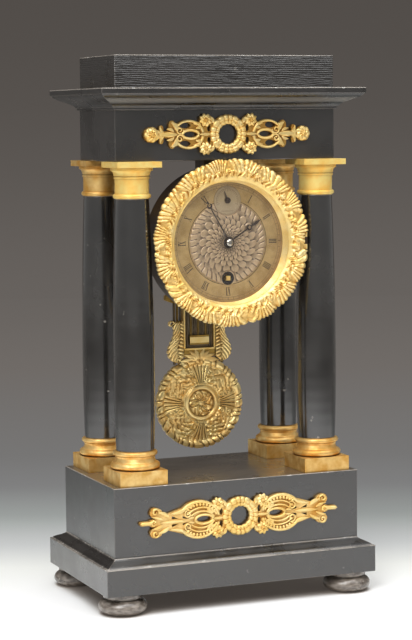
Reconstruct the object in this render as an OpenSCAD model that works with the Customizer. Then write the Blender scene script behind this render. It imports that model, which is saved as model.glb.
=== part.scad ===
// Portico clock: four turned columns carry an entablature, the drum hangs between them
// and a compensated pendulum swings behind it. X is to the right, Y to the back, Z up.
// The origin is on the floor, under the middle of the case.

/* [Feet] */
// Height of a foot
foot_h = 18.2; // [15:0.2:26]
// Height of the neck between bun and collar
foot_neck_h = 1.4; // [0.6:0.2:3]
// Largest diameter of the bun
foot_d = 42.4; // [38:0.2:48]
// Diameter of the neck
foot_neck_d = 27; // [20:0.5:32]
// Diameter of the face on the floor
foot_floor_d = 22; // [16:0.5:30]
// Diameter of the collar under the slab
foot_collar_d = 34; // [30:0.5:40]
// Height of the collar under the slab
foot_collar_h = 3.6; // [2:0.2:4]
// Foot centre, measured in from the end of the slab
foot_inset_w = 20; // [18:0.5:26]
// Foot centre, measured in from the front and back of the slab
foot_inset_d = 17.9; // [16:0.1:24]
// Diameter of the peg that holds a foot in the slab
foot_peg_d = 9; // [6:0.5:12]
// Length of that peg
foot_peg_h = 14; // [8:0.5:20]

/* [Base] */
// Width of the base slab
slab_w = 253.8; // [246:0.2:266]
// Depth of the base slab
slab_d = 156.6; // [150:0.2:168]
// Height of the slab's upright edge
slab_t = 23.3; // [18:0.1:30]
// Height of the moulding between slab and plinth
base_mould_h = 6.9; // [5:0.1:10]
// Width of the plinth box
plinth_w = 230.7; // [224:0.1:238]
// Depth of the plinth box
plinth_d = 130.6; // [128:0.2:140]
// Height of the plinth box
plinth_h = 60.4; // [52:0.2:70]
// Thickness of the plinth walls
plinth_wall = 10; // [8:0.5:13]
// Thickness of the plinth's top board
plinth_top_t = 12; // [9:0.5:16]

/* [Columns] */
// Distance between column axes, side to side
col_span_w = 173.6; // [170:0.2:178]
// Distance between column axes, front to back
col_span_d = 82.4; // [80:0.2:86]
// Side of the square block under a column
base_side = 43.3; // [40:0.1:46]
// Height of that block
base_block_h = 12.7; // [9:0.1:16]
// Height of the turned rings on that block
base_turn_h = 16.1; // [13:0.1:20]
// Diameter of the lower ring
base_ring_d = 43; // [39:0.2:43]
// Diameter of the upper ring
base_bead_d = 38.8; // [36.5:0.2:40]
// Length of a column shaft
shaft_h = 217; // [205:1:235]
// Shaft diameter at the foot
shaft_foot_d = 33.4; // [31:0.2:35]
// Shaft diameter at its widest
shaft_belly_d = 35.6; // [34:0.2:36.4]
// Shaft diameter at the head
shaft_head_d = 29.2; // [27:0.2:31]
// Height of the widest place, as a share of the shaft
shaft_belly_at = 0.3; // [0.2:0.02:0.5]
// Height of the turned part of a capital
capital_turn_h = 26.5; // [22:0.5:32]
// Diameter of the plain neck of a capital
capital_neck_d = 29.4; // [27:0.2:31]
// Diameter of the ring at the foot of a capital
capital_ring_d = 33; // [32:0.2:35]
// Diameter of the flare under the abacus
capital_flare_d = 36.6; // [34:0.2:40]
// Side of the square abacus
abacus_side = 40.3; // [38:0.1:43]
// Thickness of the abacus
abacus_t = 5; // [3:0.2:8]
// Diameter of the tie bolt through a column
tie_d = 5; // [4:0.5:7]

/* [Entablature] */
// Width of the frieze box
frieze_w = 206; // [198:0.5:214]
// How far the frieze reaches past the column axes, front and back
frieze_over_d = 4.1; // [3.8:0.1:6]
// Height of the frieze box
frieze_h = 44; // [40:0.5:50]
// Thickness of the frieze walls
frieze_wall = 8; // [6:0.5:10]
// Thickness of the frieze floor
frieze_floor_t = 13; // [11:0.5:16]
// Width of the cornice
cornice_w = 246; // [236:0.5:256]
// How far the cornice stands out from the frieze, front and back
cornice_out_d = 24.4; // [20:0.2:28]
// Height of the cornice
cornice_h = 18.2; // [14:0.2:24]
// Height of the cornice's upright edge
cornice_edge_h = 5; // [3:0.2:8]
// Width of the block on top
top_w = 205; // [196:0.5:214]
// How far the top block stands in from the frieze, front and back
top_in_d = 0.3; // [0.1:0.1:6]
// Height of the block on top
top_h = 28.3; // [22:0.1:36]
// Wall thickness of the block on top
top_wall = 9; // [7:0.5:12]

/* [Gilt mounts] */
// Thickness of the pierced mounts
mount_t = 3.2; // [2:0.2:5]
// Length of the frieze mount
frieze_mount_w = 156; // [140:1:170]
// Length of the plinth mount
plinth_mount_w = 187; // [170:1:204]
// Outer diameter of the wreath in the middle of a mount
wreath_d = 33.6; // [30:0.2:37]
// Diameter of the hole in that wreath
wreath_hole_d = 18.4; // [15:0.2:21]
// Diameter of a mount pin
mount_pin_d = 1.4; // [1:0.1:2]
// Length of a mount pin in the wood
mount_pin_h = 6; // [4:0.5:7]

/* [Drum] */
// Dial centre, measured down from the frieze
dial_drop = 71.5; // [70:0.5:76]
// Outer diameter of the drum
drum_d = 132; // [130:0.5:134]
// Outer diameter of the narrower barrel behind it
rear_drum_d = 108; // [107:0.5:116]
// Wall thickness of the drum
drum_wall = 2; // [1.5:0.1:3]
// Front rim of the drum
drum_front_y = -52; // [-54:0.5:-51]
// Back of the wide part of the drum
drum_step_y = -17; // [-21:0.5:-13]
// Height of the step that the front plate rests on
ledge_h = 4; // [3:0.5:5]
// Width of the hanger block over the drum
hanger_w = 40; // [30:1:60]
// Depth of the hanger block
hanger_d = 20; // [16:0.5:24]
// Middle of the hanger block
hanger_y = -31; // [-32:0.5:-28]

/* [Dial and bezel] */
// Front face of the dial
dial_y = -45.5; // [-46:0.1:-45]
// Thickness of the dial plate
dial_t = 1.2; // [0.8:0.1:1.6]
// Radius of the part of the dial that shows
sight_r = 52.3; // [50:0.1:54]
// Radius of the outer edge of the sloping sight ring
sight_edge_r = 57.5; // [56.5:0.1:58]
// Outer radius of the bezel
bezel_r = 73; // [71:0.1:73]
// Depth of the bezel, front to back
bezel_t = 6.8; // [6:0.1:8]
// Radius of the opening in the bezel
bezel_hole_r = 53.8; // [53:0.1:58.5]
// Thickness of the bezel glass
glass_t = 1.5; // [1:0.1:2]
// Radius of the bezel glass
glass_r = 59.8; // [59.5:0.1:61]
// Diameter of the winding hole
wind_hole_d = 12; // [9:0.5:14]
// Diameter of the small regulator dial
regulator_dial_d = 25; // [20:0.5:28]
// Length of the minute hand from its axis
minute_len = 42.5; // [40:0.5:48]
// Distance of the ring in the minute hand from its axis
minute_ring_at = 37; // [33:0.5:37.5]
// Length of the hour hand from its axis
hour_len = 36; // [30:0.5:38]
// Distance of the ring in the hour hand from its axis
hour_ring_at = 23; // [21:0.5:27]
// Length of the regulator hand from its axis
regulator_len = 8.5; // [6:0.5:10]
// Thickness of a hand
hand_t = 0.7; // [0.5:0.1:0.8]

/* [Movement] */
// Thickness of the two movement plates
plate_t = 2.5; // [2:0.1:3]
// Back face of the front plate
front_plate_y = -35; // [-35.5:0.1:-34.5]
// Front face of the back plate
back_plate_y = 4; // [2:0.5:6]
// Radius of the circle that the pillars stand on
pillar_circle_r = 44; // [42:0.5:46]
// Diameter of a pillar
pillar_d = 7; // [6:0.5:8]
// Distance of the winding arbor below the dial centre
wind_drop = 31.3; // [30.6:0.1:32]
// Distance of the escape arbor above the dial centre
escape_rise = 18.5; // [18.3:0.1:19]
// Distance of the pallet arbor above the escape arbor
pallet_rise = 10.6; // [10.4:0.1:11]
// Distance of the regulator arbor above the pallet arbor
regulator_rise = 7.5; // [7:0.1:8]
// Tip radius of the escape wheel
escape_r = 7.5; // [7:0.1:7.6]
// Tip radius of the ratchet wheel
ratchet_r = 8; // [7:0.2:9]
// Outer diameter of the mainspring barrel
barrel_d = 32.8; // [30:0.2:33]
// Side of the square on the winding arbor
wind_square = 3.8; // [3:0.1:4.2]

/* [Pendulum] */
// Middle of the pendulum, behind the centre of the case
pendulum_y = 25; // [24:0.5:27]
// Distance from the suspension pin to the middle of the bob
pendulum_len = 178.5; // [170:0.5:182]
// Diameter of the bob
bob_d = 83.6; // [76:0.2:86]
// Thickness of the bob at its middle
bob_t = 14; // [10:0.5:18]
// Width of the cross bar at the top of the grid
grid_w = 64; // [58:1:70]
// Height of that cross bar
grid_bar_h = 9; // [6:0.5:12]
// Length of the grid between the cross bar and the bob's top
grid_h = 50; // [44:0.5:56]
// Diameter of a grid rod
grid_rod_d = 2.4; // [1.8:0.1:2.6]
// Distance between neighbouring grid rods
grid_pitch = 3.6; // [3.2:0.1:3.9]
// Diameter of the upper pendulum rod
rod_d = 4.4; // [3.6:0.1:5]
// Width of the pair of leafy wings
wing_span = 63; // [58:0.5:67]

/* [Clearances] */
// Radial clearance of a shaft that turns in its hole
run_fit = 0.05; // [0.02:0.01:0.08]
// Radial clearance of a peg, screw or pin that stays put
set_fit = 0.02; // [0.01:0.01:0.05]
// Gap between flat faces that move past each other
face_gap = 0.3; // [0.2:0.05:0.5]

/* [Hidden] */
$fn = 64;

// Levels, from the floor up
z_slab = foot_h;
z_mould = z_slab + slab_t;
z_plinth = z_mould + base_mould_h;
z_col = z_plinth + plinth_h;
z_turn = z_col + base_block_h;
z_shaft = z_turn + base_turn_h;
z_cap = z_shaft + shaft_h;
z_abacus = z_cap + capital_turn_h;
z_frieze = z_abacus + abacus_t;
z_cornice = z_frieze + frieze_h;
z_top = z_cornice + cornice_h;
z_dial = z_frieze - dial_drop;

// Case: depths that follow the columns, screws and their heads
frieze_d = col_span_d + 2 * frieze_over_d;
cornice_d = frieze_d + 2 * cornice_out_d;
top_d = frieze_d - 2 * top_in_d;
FL = [-1, -1];
FR = [1, -1];
RL = [-1, 1];
RR = [1, 1];
CORNERS = [FL, FR, RL, RR];
wood_screw_d = 4;
screw_head_d = 7.5;
screw_head_t = 2.5;
screw_grip = 14;
nut_d = 11;
nut_t = 5;
tie_grip = 10;
base_screw_x = (plinth_w - plinth_wall) / 2;
base_screw_y = plinth_d / 4;
top_screw_x = (frieze_w - frieze_wall) / 2;
top_screw_y = frieze_d / 4;
hanger_screw_x = hanger_w / 2 - 7;
hanger_seat = 0.1;

// Where the pins go through the two mounts
frieze_mount_z = z_frieze + frieze_h / 2 + 0.5;
plinth_mount_z = z_plinth + plinth_h / 2 - 1.5;
frieze_front = -frieze_d / 2;
plinth_front = -plinth_d / 2;
frieze_pins = [[-24, 0], [24, 0], [-frieze_mount_w / 2 + 7, 0], [frieze_mount_w / 2 - 7, 0]];
plinth_pins = [[-24, 0], [24, 0], [-plinth_mount_w / 2 + 13, 0], [plinth_mount_w / 2 - 13, 0]];
pin_head_r = mount_pin_d;
pin_head_t = 0.8;

// Drum and bezel
drum_r = drum_d / 2;
drum_bore_r = drum_r - drum_wall;
rear_drum_r = rear_drum_d / 2;
rear_bore_r = rear_drum_r - drum_wall;
back_plate_end = back_plate_y + plate_t;
front_plate_front = front_plate_y - plate_t;
plate_gap = 0.5;
front_plate_r = drum_bore_r - plate_gap;
back_plate_r = rear_bore_r - plate_gap;
dial_r = drum_bore_r - plate_gap;
dial_back = dial_y + dial_t;
bezel_back = drum_front_y - 0.2;
bezel_front = bezel_back - bezel_t;
glass_front = bezel_back - 2.5;
hinge_x = bezel_r - 2;
hinge_y = bezel_back - 1.8;
knuckle_r = 1.6;
knuckle_h = 6;
hinge_pin_d = 1.4;
hinge_h = 15;
hinge_arm_t = 1.2;
hinge_notch_x = hinge_x - 2.8;

// Hands: 1:55 is shown at rest
minute_turn = 330;
hour_turn = 57.5;
regulator_turn = 22;
hour_hand_back = dial_y - 2.2;
minute_hand_back = hour_hand_back - hand_t - 1.2;
pipe_wall = 0.95;
center_front_r = 1.3;
cannon_bore_r = center_front_r + run_fit;
cannon_r = cannon_bore_r + pipe_wall;
hour_bore_r = cannon_r + run_fit;
hour_pipe_r = hour_bore_r + pipe_wall;
hand_end = minute_hand_back - hand_t;

// Going train: tooth counts and modules, then the arbor places about the dial centre
barrel_teeth = 72;
inter_leaves = 12;
inter_teeth = 80;
center_leaves = 10;
center_teeth = 72;
third_leaves = 6;
third_teeth = 72;
escape_leaves = 6;
escape_teeth = 30;
barrel_m = 0.5;
inter_m = 0.42;
center_m = 0.45;
third_m = 0.35;
barrel_inter = barrel_m * (barrel_teeth + inter_leaves) / 2;
inter_center = inter_m * (inter_teeth + center_leaves) / 2;
center_third = center_m * (center_teeth + third_leaves) / 2;
third_escape = third_m * (third_teeth + escape_leaves) / 2;
P_center = [0, 0];
P_barrel = [0, -wind_drop];
P_escape = [0, escape_rise];
P_pallet = P_escape + [0, pallet_rise];
P_regulator = P_pallet + [0, regulator_rise];
P_inter = corner_point(P_barrel, P_center, barrel_inter, inter_center, -1);
P_third = corner_point(P_center, P_escape, center_third, third_escape, 1);

// Motion work under the dial
cannon_leaves = 14;
minute_teeth = 42;
minute_leaves = 10;
hour_teeth = 40;
cannon_m = 0.5;
motion_reach = cannon_m * (cannon_leaves + minute_teeth) / 2;
hour_m = 2 * motion_reach / (minute_leaves + hour_teeth);
P_minute = motion_reach * [cos(-45), sin(-45)];
motion_low = front_plate_front - 0.7;
motion_t = 2;
motion_mid = motion_low - motion_t;
hour_wheel_t = 1.6;
hour_wheel_back = motion_mid - 1.6;
hour_wheel_front = hour_wheel_back - hour_wheel_t;

// Places along the arbors
pivot_grip = 1.5;
barrel_wheel_y = front_plate_y + 2;
barrel_wheel_t = 2;
barrel_back = back_plate_y - 16.2;
barrel_lid_t = 1;
inter_wheel_y = barrel_back + 2.8;
center_wheel_y = inter_wheel_y + 5.2;
third_wheel_y = front_plate_y + 8.8;
escape_wheel_y = third_wheel_y + 11.2;
wheel_t = 1.5;
ratchet_back = front_plate_front - 1.2;
ratchet_t = 1.8;
winding_end = dial_y - 1;
barrel_core_r = 4.5;
barrel_shaft_r = 3;
barrel_pivot_r = 2.5;
regulator_r = 1.5;
center_r = 1.5;
thin_r = 0.9;
inter_r = 1.2;
fine_pivot_r = 0.5;
pivot_r = 0.6;
center_pivot_r = 0.8;
stud_r = 1;

// Click: its post and nose about the ratchet
click_post = P_barrel + 13 * [cos(200), sin(200)];
click_nose = P_barrel + (ratchet_r + face_gap) * [cos(160), sin(160)];
click_hub_r = 2;

// Suspension behind the back plate
susp_z = z_dial + P_pallet[1];
regulator_z = z_dial + P_regulator[1];
cock_arm_z = regulator_z + 9.9;
cock_arm_t = 5.5;
cock_foot_z = regulator_z + 2.9;
cock_foot_h = 9.5;
cock_foot_w = 28;
cock_screw_x = 11;
cock_w = 16;
cheek_t = 2;
cheek_y = back_plate_end + 6;
slide_w = 9.4;
slide_d = 8;
slide_h = 7.5;
slide_low = susp_z + 3.4;
slide_y = pendulum_y - slide_d / 2;
slide_cheek_t = 1.8;
susp_pin_r = 1;
chop_w = 6;
chop_h = 6;
spring_h = 8;
spring_t = 0.4;
spring_top = susp_z - 4.1;
rack_leaves = 8;
rack_m = 0.5;
rack_pitch = PI * rack_m;
rack_r = rack_m * rack_leaves / 2;
rack_y = cheek_y + cheek_t + 1.5;
rack_t = 3.5;
rack_body_w = 2;
rack_reach = 5.6;

// Crutch
crutch_y = back_plate_end + 2;
crutch_t = 2;
crutch_drop = 43;
fork_gap = 0.7;
fork_t = 1.2;
fork_h = 4;

// Pendulum
bob_z = susp_z - pendulum_len;
bob_r = bob_d / 2;
bob_rim_t = 3;
bar_h = 7.4;
bar_z = bob_z + bob_r + 0.1;
grid_top = bar_z + grid_h;
pend_rod_top = spring_top - spring_h - chop_h;
inner_rods = [-3, -2, -1, 0, 1, 2, 3];
outer_rods = [4.8, 5.65, 6.5];
block_z = bar_z + bar_h + 4;
block_h = 8.4;
block_w = 2 * (3 * grid_pitch - grid_rod_d / 2 - face_gap);
frame_t = 6;
wing_t = 5;
wing_drop = 5;
wing_low_h = 30;
wing_top_h = 18;
wing_top_in = 3;
wing_lean = 1.5;

// Tooth shape: share of the pitch that a wheel tooth and a pinion leaf take
wheel_share = 0.42;
leaf_share = 0.3;
flank_steps = 4;

// Dial feet and small screws, by their angles
DIAL_FEET = [90, 210, 330];
LEDGE_SCREWS = [30, 150, 270];
PILLARS = [45, 135, 225, 315];
hanger_grip = 5;
dial_foot_r = 1.5;
dial_pin_r = 0.8;
dial_foot_circle = 49;
regulator_rim_t = 0.3;
regulator_rim_w = 0.6;
small_screw_r = 1.2;
small_head_r = 2.2;
small_head_t = 1.6;
ledge_grip = 1.5;
pillar_grip = 6;

// The anchor stands clear of the escape wheel's tips by this much at rest
pallet_gap = 0.55;
anchor_reach = 48;

// Meeting point of two circles about p and q; side picks which of the two
function corner_point(p, q, rp, rq, side) =
    let (d = norm(q - p))
    let (along = (rp * rp - rq * rq + d * d) / (2 * d))
    let (off = sqrt(rp * rp - along * along))
    let (u = (q - p) / d)
    p + along * u + side * off * [-u[1], u[0]];

// Direction from one arbor to another, in degrees
function heading(p, q) = atan2(q[1] - p[1], q[0] - p[0]);

// A point at a radius and an angle
function polar(r, a) = r * [cos(a), sin(a)];

// Points along an arc about c
function arc(c, r, a0, a1, n) = [for (i = [0 : n]) c + polar(r, a0 + (a1 - a0) * i / n)];

// Points round an ellipse about c
function oval(c, a, b, n) = [for (i = [0 : n - 1]) c + [a * cos(360 * i / n), b * sin(360 * i / n)]];

// A closed outline that repeats its right half on the left
function both_sides(half) =
    let (last = len(half) - 1)
    concat(half, [for (i = [last : -1 : 0]) [-half[i][0], half[i][1]]]);

// Flank of a wheel tooth: the curve that a pinion's radial leaf rolls along
function epicycloid(R, g, t) =
    let (k = (R + g) / g)
    [(R + g) * cos(t) - g * cos(k * t), (R + g) * sin(t) - g * sin(k * t)];
function lean(R, g, t) = let (p = epicycloid(R, g, t)) atan2(p[1], p[0]);
function tip_turn(R, g, half, t) = lean(R, g, t) >= half ? t : tip_turn(R, g, half, t + 0.05);

// Outline of a wheel of n teeth that drives a pinion of the given number of leaves
function wheel_outline(n, m, leaves, turn) =
    let (R = n * m / 2)
    let (g = leaves * m / 4)
    let (half = wheel_share * 180 / n)
    let (end = tip_turn(R, g, half, 0) * 0.9)
    let (flank = [for (i = [0 : flank_steps]) epicycloid(R, g, end * i / flank_steps)])
    let (rise = [for (p = flank) norm(p)])
    let (in = [for (p = flank) half - atan2(p[1], p[0])])
    let (root = R - 1.1 * m)
    [for (k = [0 : n - 1]) let (a = turn + 360 * k / n) each concat(
        [polar(root, a - half)],
        [for (i = [0 : flank_steps]) polar(rise[i], a - in[i])],
        [for (i = [flank_steps : -1 : 0]) polar(rise[i], a + in[i])],
        [polar(root, a + half)])];

// Outline of a pinion: radial leaves with rounded tops
function pinion_outline(n, m, turn) =
    let (R = n * m / 2)
    let (half = leaf_share * 180 / n)
    let (cap = R * sin(half))
    let (root = R - 1.55 * m)
    [for (k = [0 : n - 1]) let (a = turn + 360 * k / n) each concat(
        [polar(root, a - half)],
        [for (s = [-90 : 45 : 90])
            let (p = [R * cos(half) + 0.8 * cap * cos(s), cap * sin(s)])
            [p[0] * cos(a) - p[1] * sin(a), p[0] * sin(a) + p[1] * cos(a)]],
        [polar(root, a + half)])];

// Saw teeth: upright on one side, sloping on the other
function saw_outline(n, tip, depth, turn) =
    [for (k = [0 : n - 1]) let (a = turn + 360 * k / n) each [
        polar(tip - depth, a),
        polar(tip, a + 40 / n),
        polar(tip, a + 80 / n)]];

// A round bar along Y, about the point p of the dial plane
module bar_y(p, r, y0, y1) {
    translate([p[0], y0, z_dial + p[1]]) rotate([-90, 0, 0]) cylinder(r = r, h = y1 - y0);
}

// A flat shape of the dial plane, thickened from y0 back to y1
module plate_y(p, y0, y1) {
    translate([p[0], y1, z_dial + p[1]]) rotate([90, 0, 0]) linear_extrude(y1 - y0) children();
}

// A flat shape drawn in real X and Z, thickened from y0 back to y1
module panel(y0, y1) {
    translate([0, y1, 0]) rotate([90, 0, 0]) linear_extrude(y1 - y0) children();
}

// The same for several flat shapes that overlap, each thickened by itself
module pieces(y0, y1) {
    for (i = [0 : $children - 1])
        panel(y0, y1) children(i);
}

// A turned piece about the dial axis, drawn as radius and Y
module turned_y(points) {
    translate([0, 0, z_dial]) rotate([-90, 0, 0]) rotate_extrude($fn = 128) polygon(points);
}

// A box between two corners
module box(from, to) {
    translate(from) cube(to - from);
}

// A wood screw pointing down: its head lies on z, or hangs under it when it points up
module wood_screw(x, y, z, h, up, extra) {
    translate([x, y, z]) mirror([0, 0, up ? 1 : 0]) {
        cylinder(d = screw_head_d + 2 * extra, h = screw_head_t + extra);
        translate([0, 0, -h]) cylinder(d = wood_screw_d + 2 * extra, h = h + extra);
    }
}

// A moulded block: each level is a share of the spread and a height
module moulded_block(levels, w, d, spread_w, spread_d) {
    intersection() {
        rotate([90, 0, 0]) linear_extrude(d + 2 * spread_d, center = true)
            polygon(both_sides([for (l = levels) [w / 2 + spread_w * l[0], l[1]]]));
        rotate([90, 0, 90]) linear_extrude(w + 2 * spread_w, center = true)
            polygon(both_sides([for (l = levels) [d / 2 + spread_d * l[0], l[1]]]));
    }
}

// Screw places that more than one piece needs
module base_screw_set(extra) {
    for (c = CORNERS)
        wood_screw(c[0] * base_screw_x, c[1] * base_screw_y, z_slab + screw_head_t,
            slab_t + base_mould_h - screw_head_t + screw_grip, true, extra);
}

module top_screw_set(extra) {
    for (c = CORNERS)
        wood_screw(c[0] * top_screw_x, c[1] * top_screw_y, z_top - screw_head_t,
            cornice_h - screw_head_t + screw_grip, false, extra);
}

module hanger_screw_set(extra) {
    for (s = [-1, 1])
        wood_screw(s * hanger_screw_x, hanger_y, z_frieze + frieze_floor_t,
            frieze_floor_t + hanger_grip, false, extra);
}

module foot_pegs(extra) {
    for (c = CORNERS)
        translate([c[0] * (slab_w / 2 - foot_inset_w), c[1] * (slab_d / 2 - foot_inset_d), z_slab])
            cylinder(d = foot_peg_d + 2 * extra, h = foot_peg_h + extra);
}

module tie_bores(z0, z1) {
    for (c = CORNERS)
        translate([c[0] * col_span_w / 2, c[1] * col_span_d / 2, z0])
            cylinder(d = tie_d + 2 * set_fit, h = z1 - z0);
}

module mount_pin_set(places, z, front, extra) {
    for (p = places)
        translate([p[0], front - mount_t, z + p[1]]) rotate([-90, 0, 0])
            cylinder(d = mount_pin_d + 2 * extra, h = mount_t + mount_pin_h + extra, $fn = 24);
}

// Case

module bun_feet() {
    steps = 14;
    collar_z = foot_h - foot_collar_h;
    bun_h = collar_z - foot_neck_h;
    bun = [for (i = [0 : steps]) let (t = i / steps)
        let (end = (t < 0.5 ? foot_floor_d : foot_neck_d) / 2)
        [end + (foot_d / 2 - end) * sqrt(1 - pow(2 * t - 1, 2)), bun_h * t]];
    color("#2b211c") {
        for (c = CORNERS)
            translate([c[0] * (slab_w / 2 - foot_inset_w), c[1] * (slab_d / 2 - foot_inset_d), 0]) {
                rotate_extrude() polygon(concat([[0, 0]], bun, [
                    [foot_neck_d / 2, collar_z],
                    [foot_collar_d / 2, collar_z],
                    [foot_collar_d / 2, foot_h],
                    [0, foot_h]]));
                cylinder(d = foot_peg_d, h = foot_h + foot_peg_h);
            }
    }
}

module base_slab() {
    quirk = 0.86;
    steps = 8;
    ogee = [for (i = [0 : steps]) let (t = i / steps)
        [quirk * (1 + cos(180 * t)) / 2, z_mould + base_mould_h * t]];
    levels = concat([[1, z_slab], [1, z_mould]], ogee);
    color("#26221f") difference() {
        moulded_block(levels, plinth_w, plinth_d, (slab_w - plinth_w) / 2, (slab_d - plinth_d) / 2);
        foot_pegs(set_fit);
        base_screw_set(set_fit);
    }
}

module plinth_box() {
    color("#1f1c1a") difference() {
        translate([-plinth_w / 2, -plinth_d / 2, z_plinth]) cube([plinth_w, plinth_d, plinth_h]);
        translate([plinth_wall - plinth_w / 2, plinth_wall - plinth_d / 2, z_plinth - 1])
            cube([plinth_w - 2 * plinth_wall, plinth_d - 2 * plinth_wall, plinth_h - plinth_top_t + 1]);
        tie_bores(z_col - plinth_top_t - 1, z_col + 1);
        base_screw_set(set_fit);
        mount_pin_set(plinth_pins, plinth_mount_z, plinth_front, set_fit);
    }
}

module column_base(c) {
    low_r = base_turn_h * 0.19;
    top_r = base_turn_h * 0.12;
    waist_r = base_bead_d / 2 - 1.6;
    neck_r = shaft_foot_d / 2 + 0.8;
    rings = concat(
        arc([base_ring_d / 2 - low_r, low_r], low_r, -90, 90, 10),
        [[waist_r, low_r * 2.3], [waist_r - 0.9, base_turn_h * 0.6], [waist_r, base_turn_h * 0.72]],
        arc([base_bead_d / 2 - top_r, base_turn_h * 0.86], top_r, -90, 90, 8),
        [[neck_r, base_turn_h]]);
    color("#c9974a") difference() {
        translate([c[0] * col_span_w / 2, c[1] * col_span_d / 2, z_col]) {
            translate([-base_side / 2, -base_side / 2, 0]) cube([base_side, base_side, base_block_h]);
            translate([0, 0, base_block_h])
                rotate_extrude() polygon(concat([[0, 0]], rings, [[0, base_turn_h]]));
        }
        tie_bores(z_col - 1, z_shaft + 1);
    }
}

function shaft_radius(t) =
    let (foot = t < shaft_belly_at)
    let (away = foot ? 1 - t / shaft_belly_at : (t - shaft_belly_at) / (1 - shaft_belly_at))
    shaft_belly_d / 2 - (shaft_belly_d - (foot ? shaft_foot_d : shaft_head_d)) / 2 * away * away;

module column_shaft(c) {
    steps = 20;
    side = [for (i = [0 : steps]) [shaft_radius(i / steps), shaft_h * i / steps]];
    color("#191716") difference() {
        translate([c[0] * col_span_w / 2, c[1] * col_span_d / 2, z_shaft])
            rotate_extrude() polygon(concat([[0, 0]], side, [[0, shaft_h]]));
        tie_bores(z_shaft - 1, z_cap + 1);
    }
}

module capital(c) {
    ring_r = 2.1;
    neck = capital_neck_d / 2;
    flare = capital_flare_d / 2;
    fillet_z = capital_turn_h * 0.64;
    steps = 6;
    sweep = [for (i = [0 : steps]) let (a = 90 * i / steps)
        [neck + 0.8 + (flare - neck - 0.8) * (1 - cos(a)),
         fillet_z + 2.4 + (capital_turn_h - fillet_z - 5) * sin(a)]];
    rings = concat(
        arc([capital_ring_d / 2 - ring_r, ring_r], ring_r, -90, 90, 8),
        [[neck, ring_r * 2], [neck, fillet_z], [neck + 0.8, fillet_z], [neck + 0.8, fillet_z + 1.6],
         [neck + 0.2, fillet_z + 1.6], [neck + 0.2, fillet_z + 2.4]],
        sweep,
        [[flare, capital_turn_h]]);
    color("#dca94f") difference() {
        translate([c[0] * col_span_w / 2, c[1] * col_span_d / 2, z_cap]) {
            rotate_extrude() polygon(concat([[0, 0]], rings, [[0, capital_turn_h]]));
            translate([-abacus_side / 2, -abacus_side / 2, capital_turn_h])
                cube([abacus_side, abacus_side, abacus_t]);
        }
        tie_bores(z_cap - 1, z_frieze + 1);
    }
}

module frieze_box() {
    color("#1b1918") difference() {
        translate([-frieze_w / 2, -frieze_d / 2, z_frieze]) cube([frieze_w, frieze_d, frieze_h]);
        translate([frieze_wall - frieze_w / 2, frieze_wall - frieze_d / 2, z_frieze + frieze_floor_t])
            cube([frieze_w - 2 * frieze_wall, frieze_d - 2 * frieze_wall, frieze_h]);
        tie_bores(z_frieze - 1, z_frieze + tie_grip);
        hanger_screw_set(set_fit);
        top_screw_set(set_fit);
        mount_pin_set(frieze_pins, frieze_mount_z, frieze_front, set_fit);
    }
}

module cornice() {
    foot = 0.1;
    foot_step_h = 2.2;
    steps = 10;
    low = z_cornice + foot_step_h;
    high = z_top - cornice_edge_h;
    ogee = [for (i = [0 : steps]) let (t = i / steps)
        [foot + 0.06 + (0.88 - foot) * (1 - cos(180 * t)) / 2, low + (high - low) * t]];
    levels = concat([[foot, z_cornice], [foot, low]], ogee, [[1, high], [1, z_top]]);
    color("#1b1918") difference() {
        moulded_block(levels, frieze_w, frieze_d, (cornice_w - frieze_w) / 2, (cornice_d - frieze_d) / 2);
        top_screw_set(set_fit);
    }
}

module top_block() {
    color("#1d1b19") difference() {
        translate([-top_w / 2, -top_d / 2, z_top]) cube([top_w, top_d, top_h]);
        translate([top_wall - top_w / 2, top_wall - top_d / 2, z_top - 1])
            cube([top_w - 2 * top_wall, top_d - 2 * top_wall, top_h - top_wall + 1]);
    }
}

// Middle of a pierced mount: a wreath between four rosettes
module mount_middle() {
    difference() {
        union() {
            circle(d = wreath_d);
            translate([-27, -9.5]) square([54, 19]);
            for (c = CORNERS)
                translate([c[0] * 20.3, c[1] * 10.6]) circle(r = 6.4);
        }
        circle(d = wreath_hole_d);
        for (c = CORNERS)
            translate([c[0] * 18, c[1] * 5.2]) polygon(oval([0, 0], 1.6, 3, 20));
    }
}

// One arm of the frieze mount, pointing right: a scroll loop, a palmette and a bud
module frieze_arm(y0, y1) {
    tip = frieze_mount_w / 2;
    difference() {
        pieces(y0, y1) {
            polygon(oval([37, 0], 14.5, 12.8, 40));
            polygon([[24, -8.5], [24, 8.5], [32, 6], [32, -6]]);
            polygon([[46, -5], [46, 5], [tip - 12, 1.6], [tip - 12, -1.6]]);
            for (s = [-1, 1])
                polygon(oval([52, s * 7], 3.2, 5, 20));
            for (s = [-1, 1])
                polygon(oval([tip - 16, s * 4.4], 2, 3.6, 20));
            polygon(oval([tip - 7, 0], 7, 6.7, 28));
        }
        panel(y0 - 1, y1 + 1) {
            polygon(oval([35, 0], 6, 2.4, 24));
            for (s = [-1, 1])
                polygon(oval([40, s * 7.9], 5, 2.8, 24));
        }
    }
}

module frieze_mount() {
    back = frieze_front;
    front = frieze_front - mount_t;
    color("#d9ac58") difference() {
        translate([0, 0, frieze_mount_z]) {
            panel(front, back) mount_middle();
            for (s = [0, 1])
                mirror([s, 0, 0]) frieze_arm(front, back);
        }
        mount_pin_set(frieze_pins, frieze_mount_z, frieze_front, set_fit);
    }
}

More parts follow.
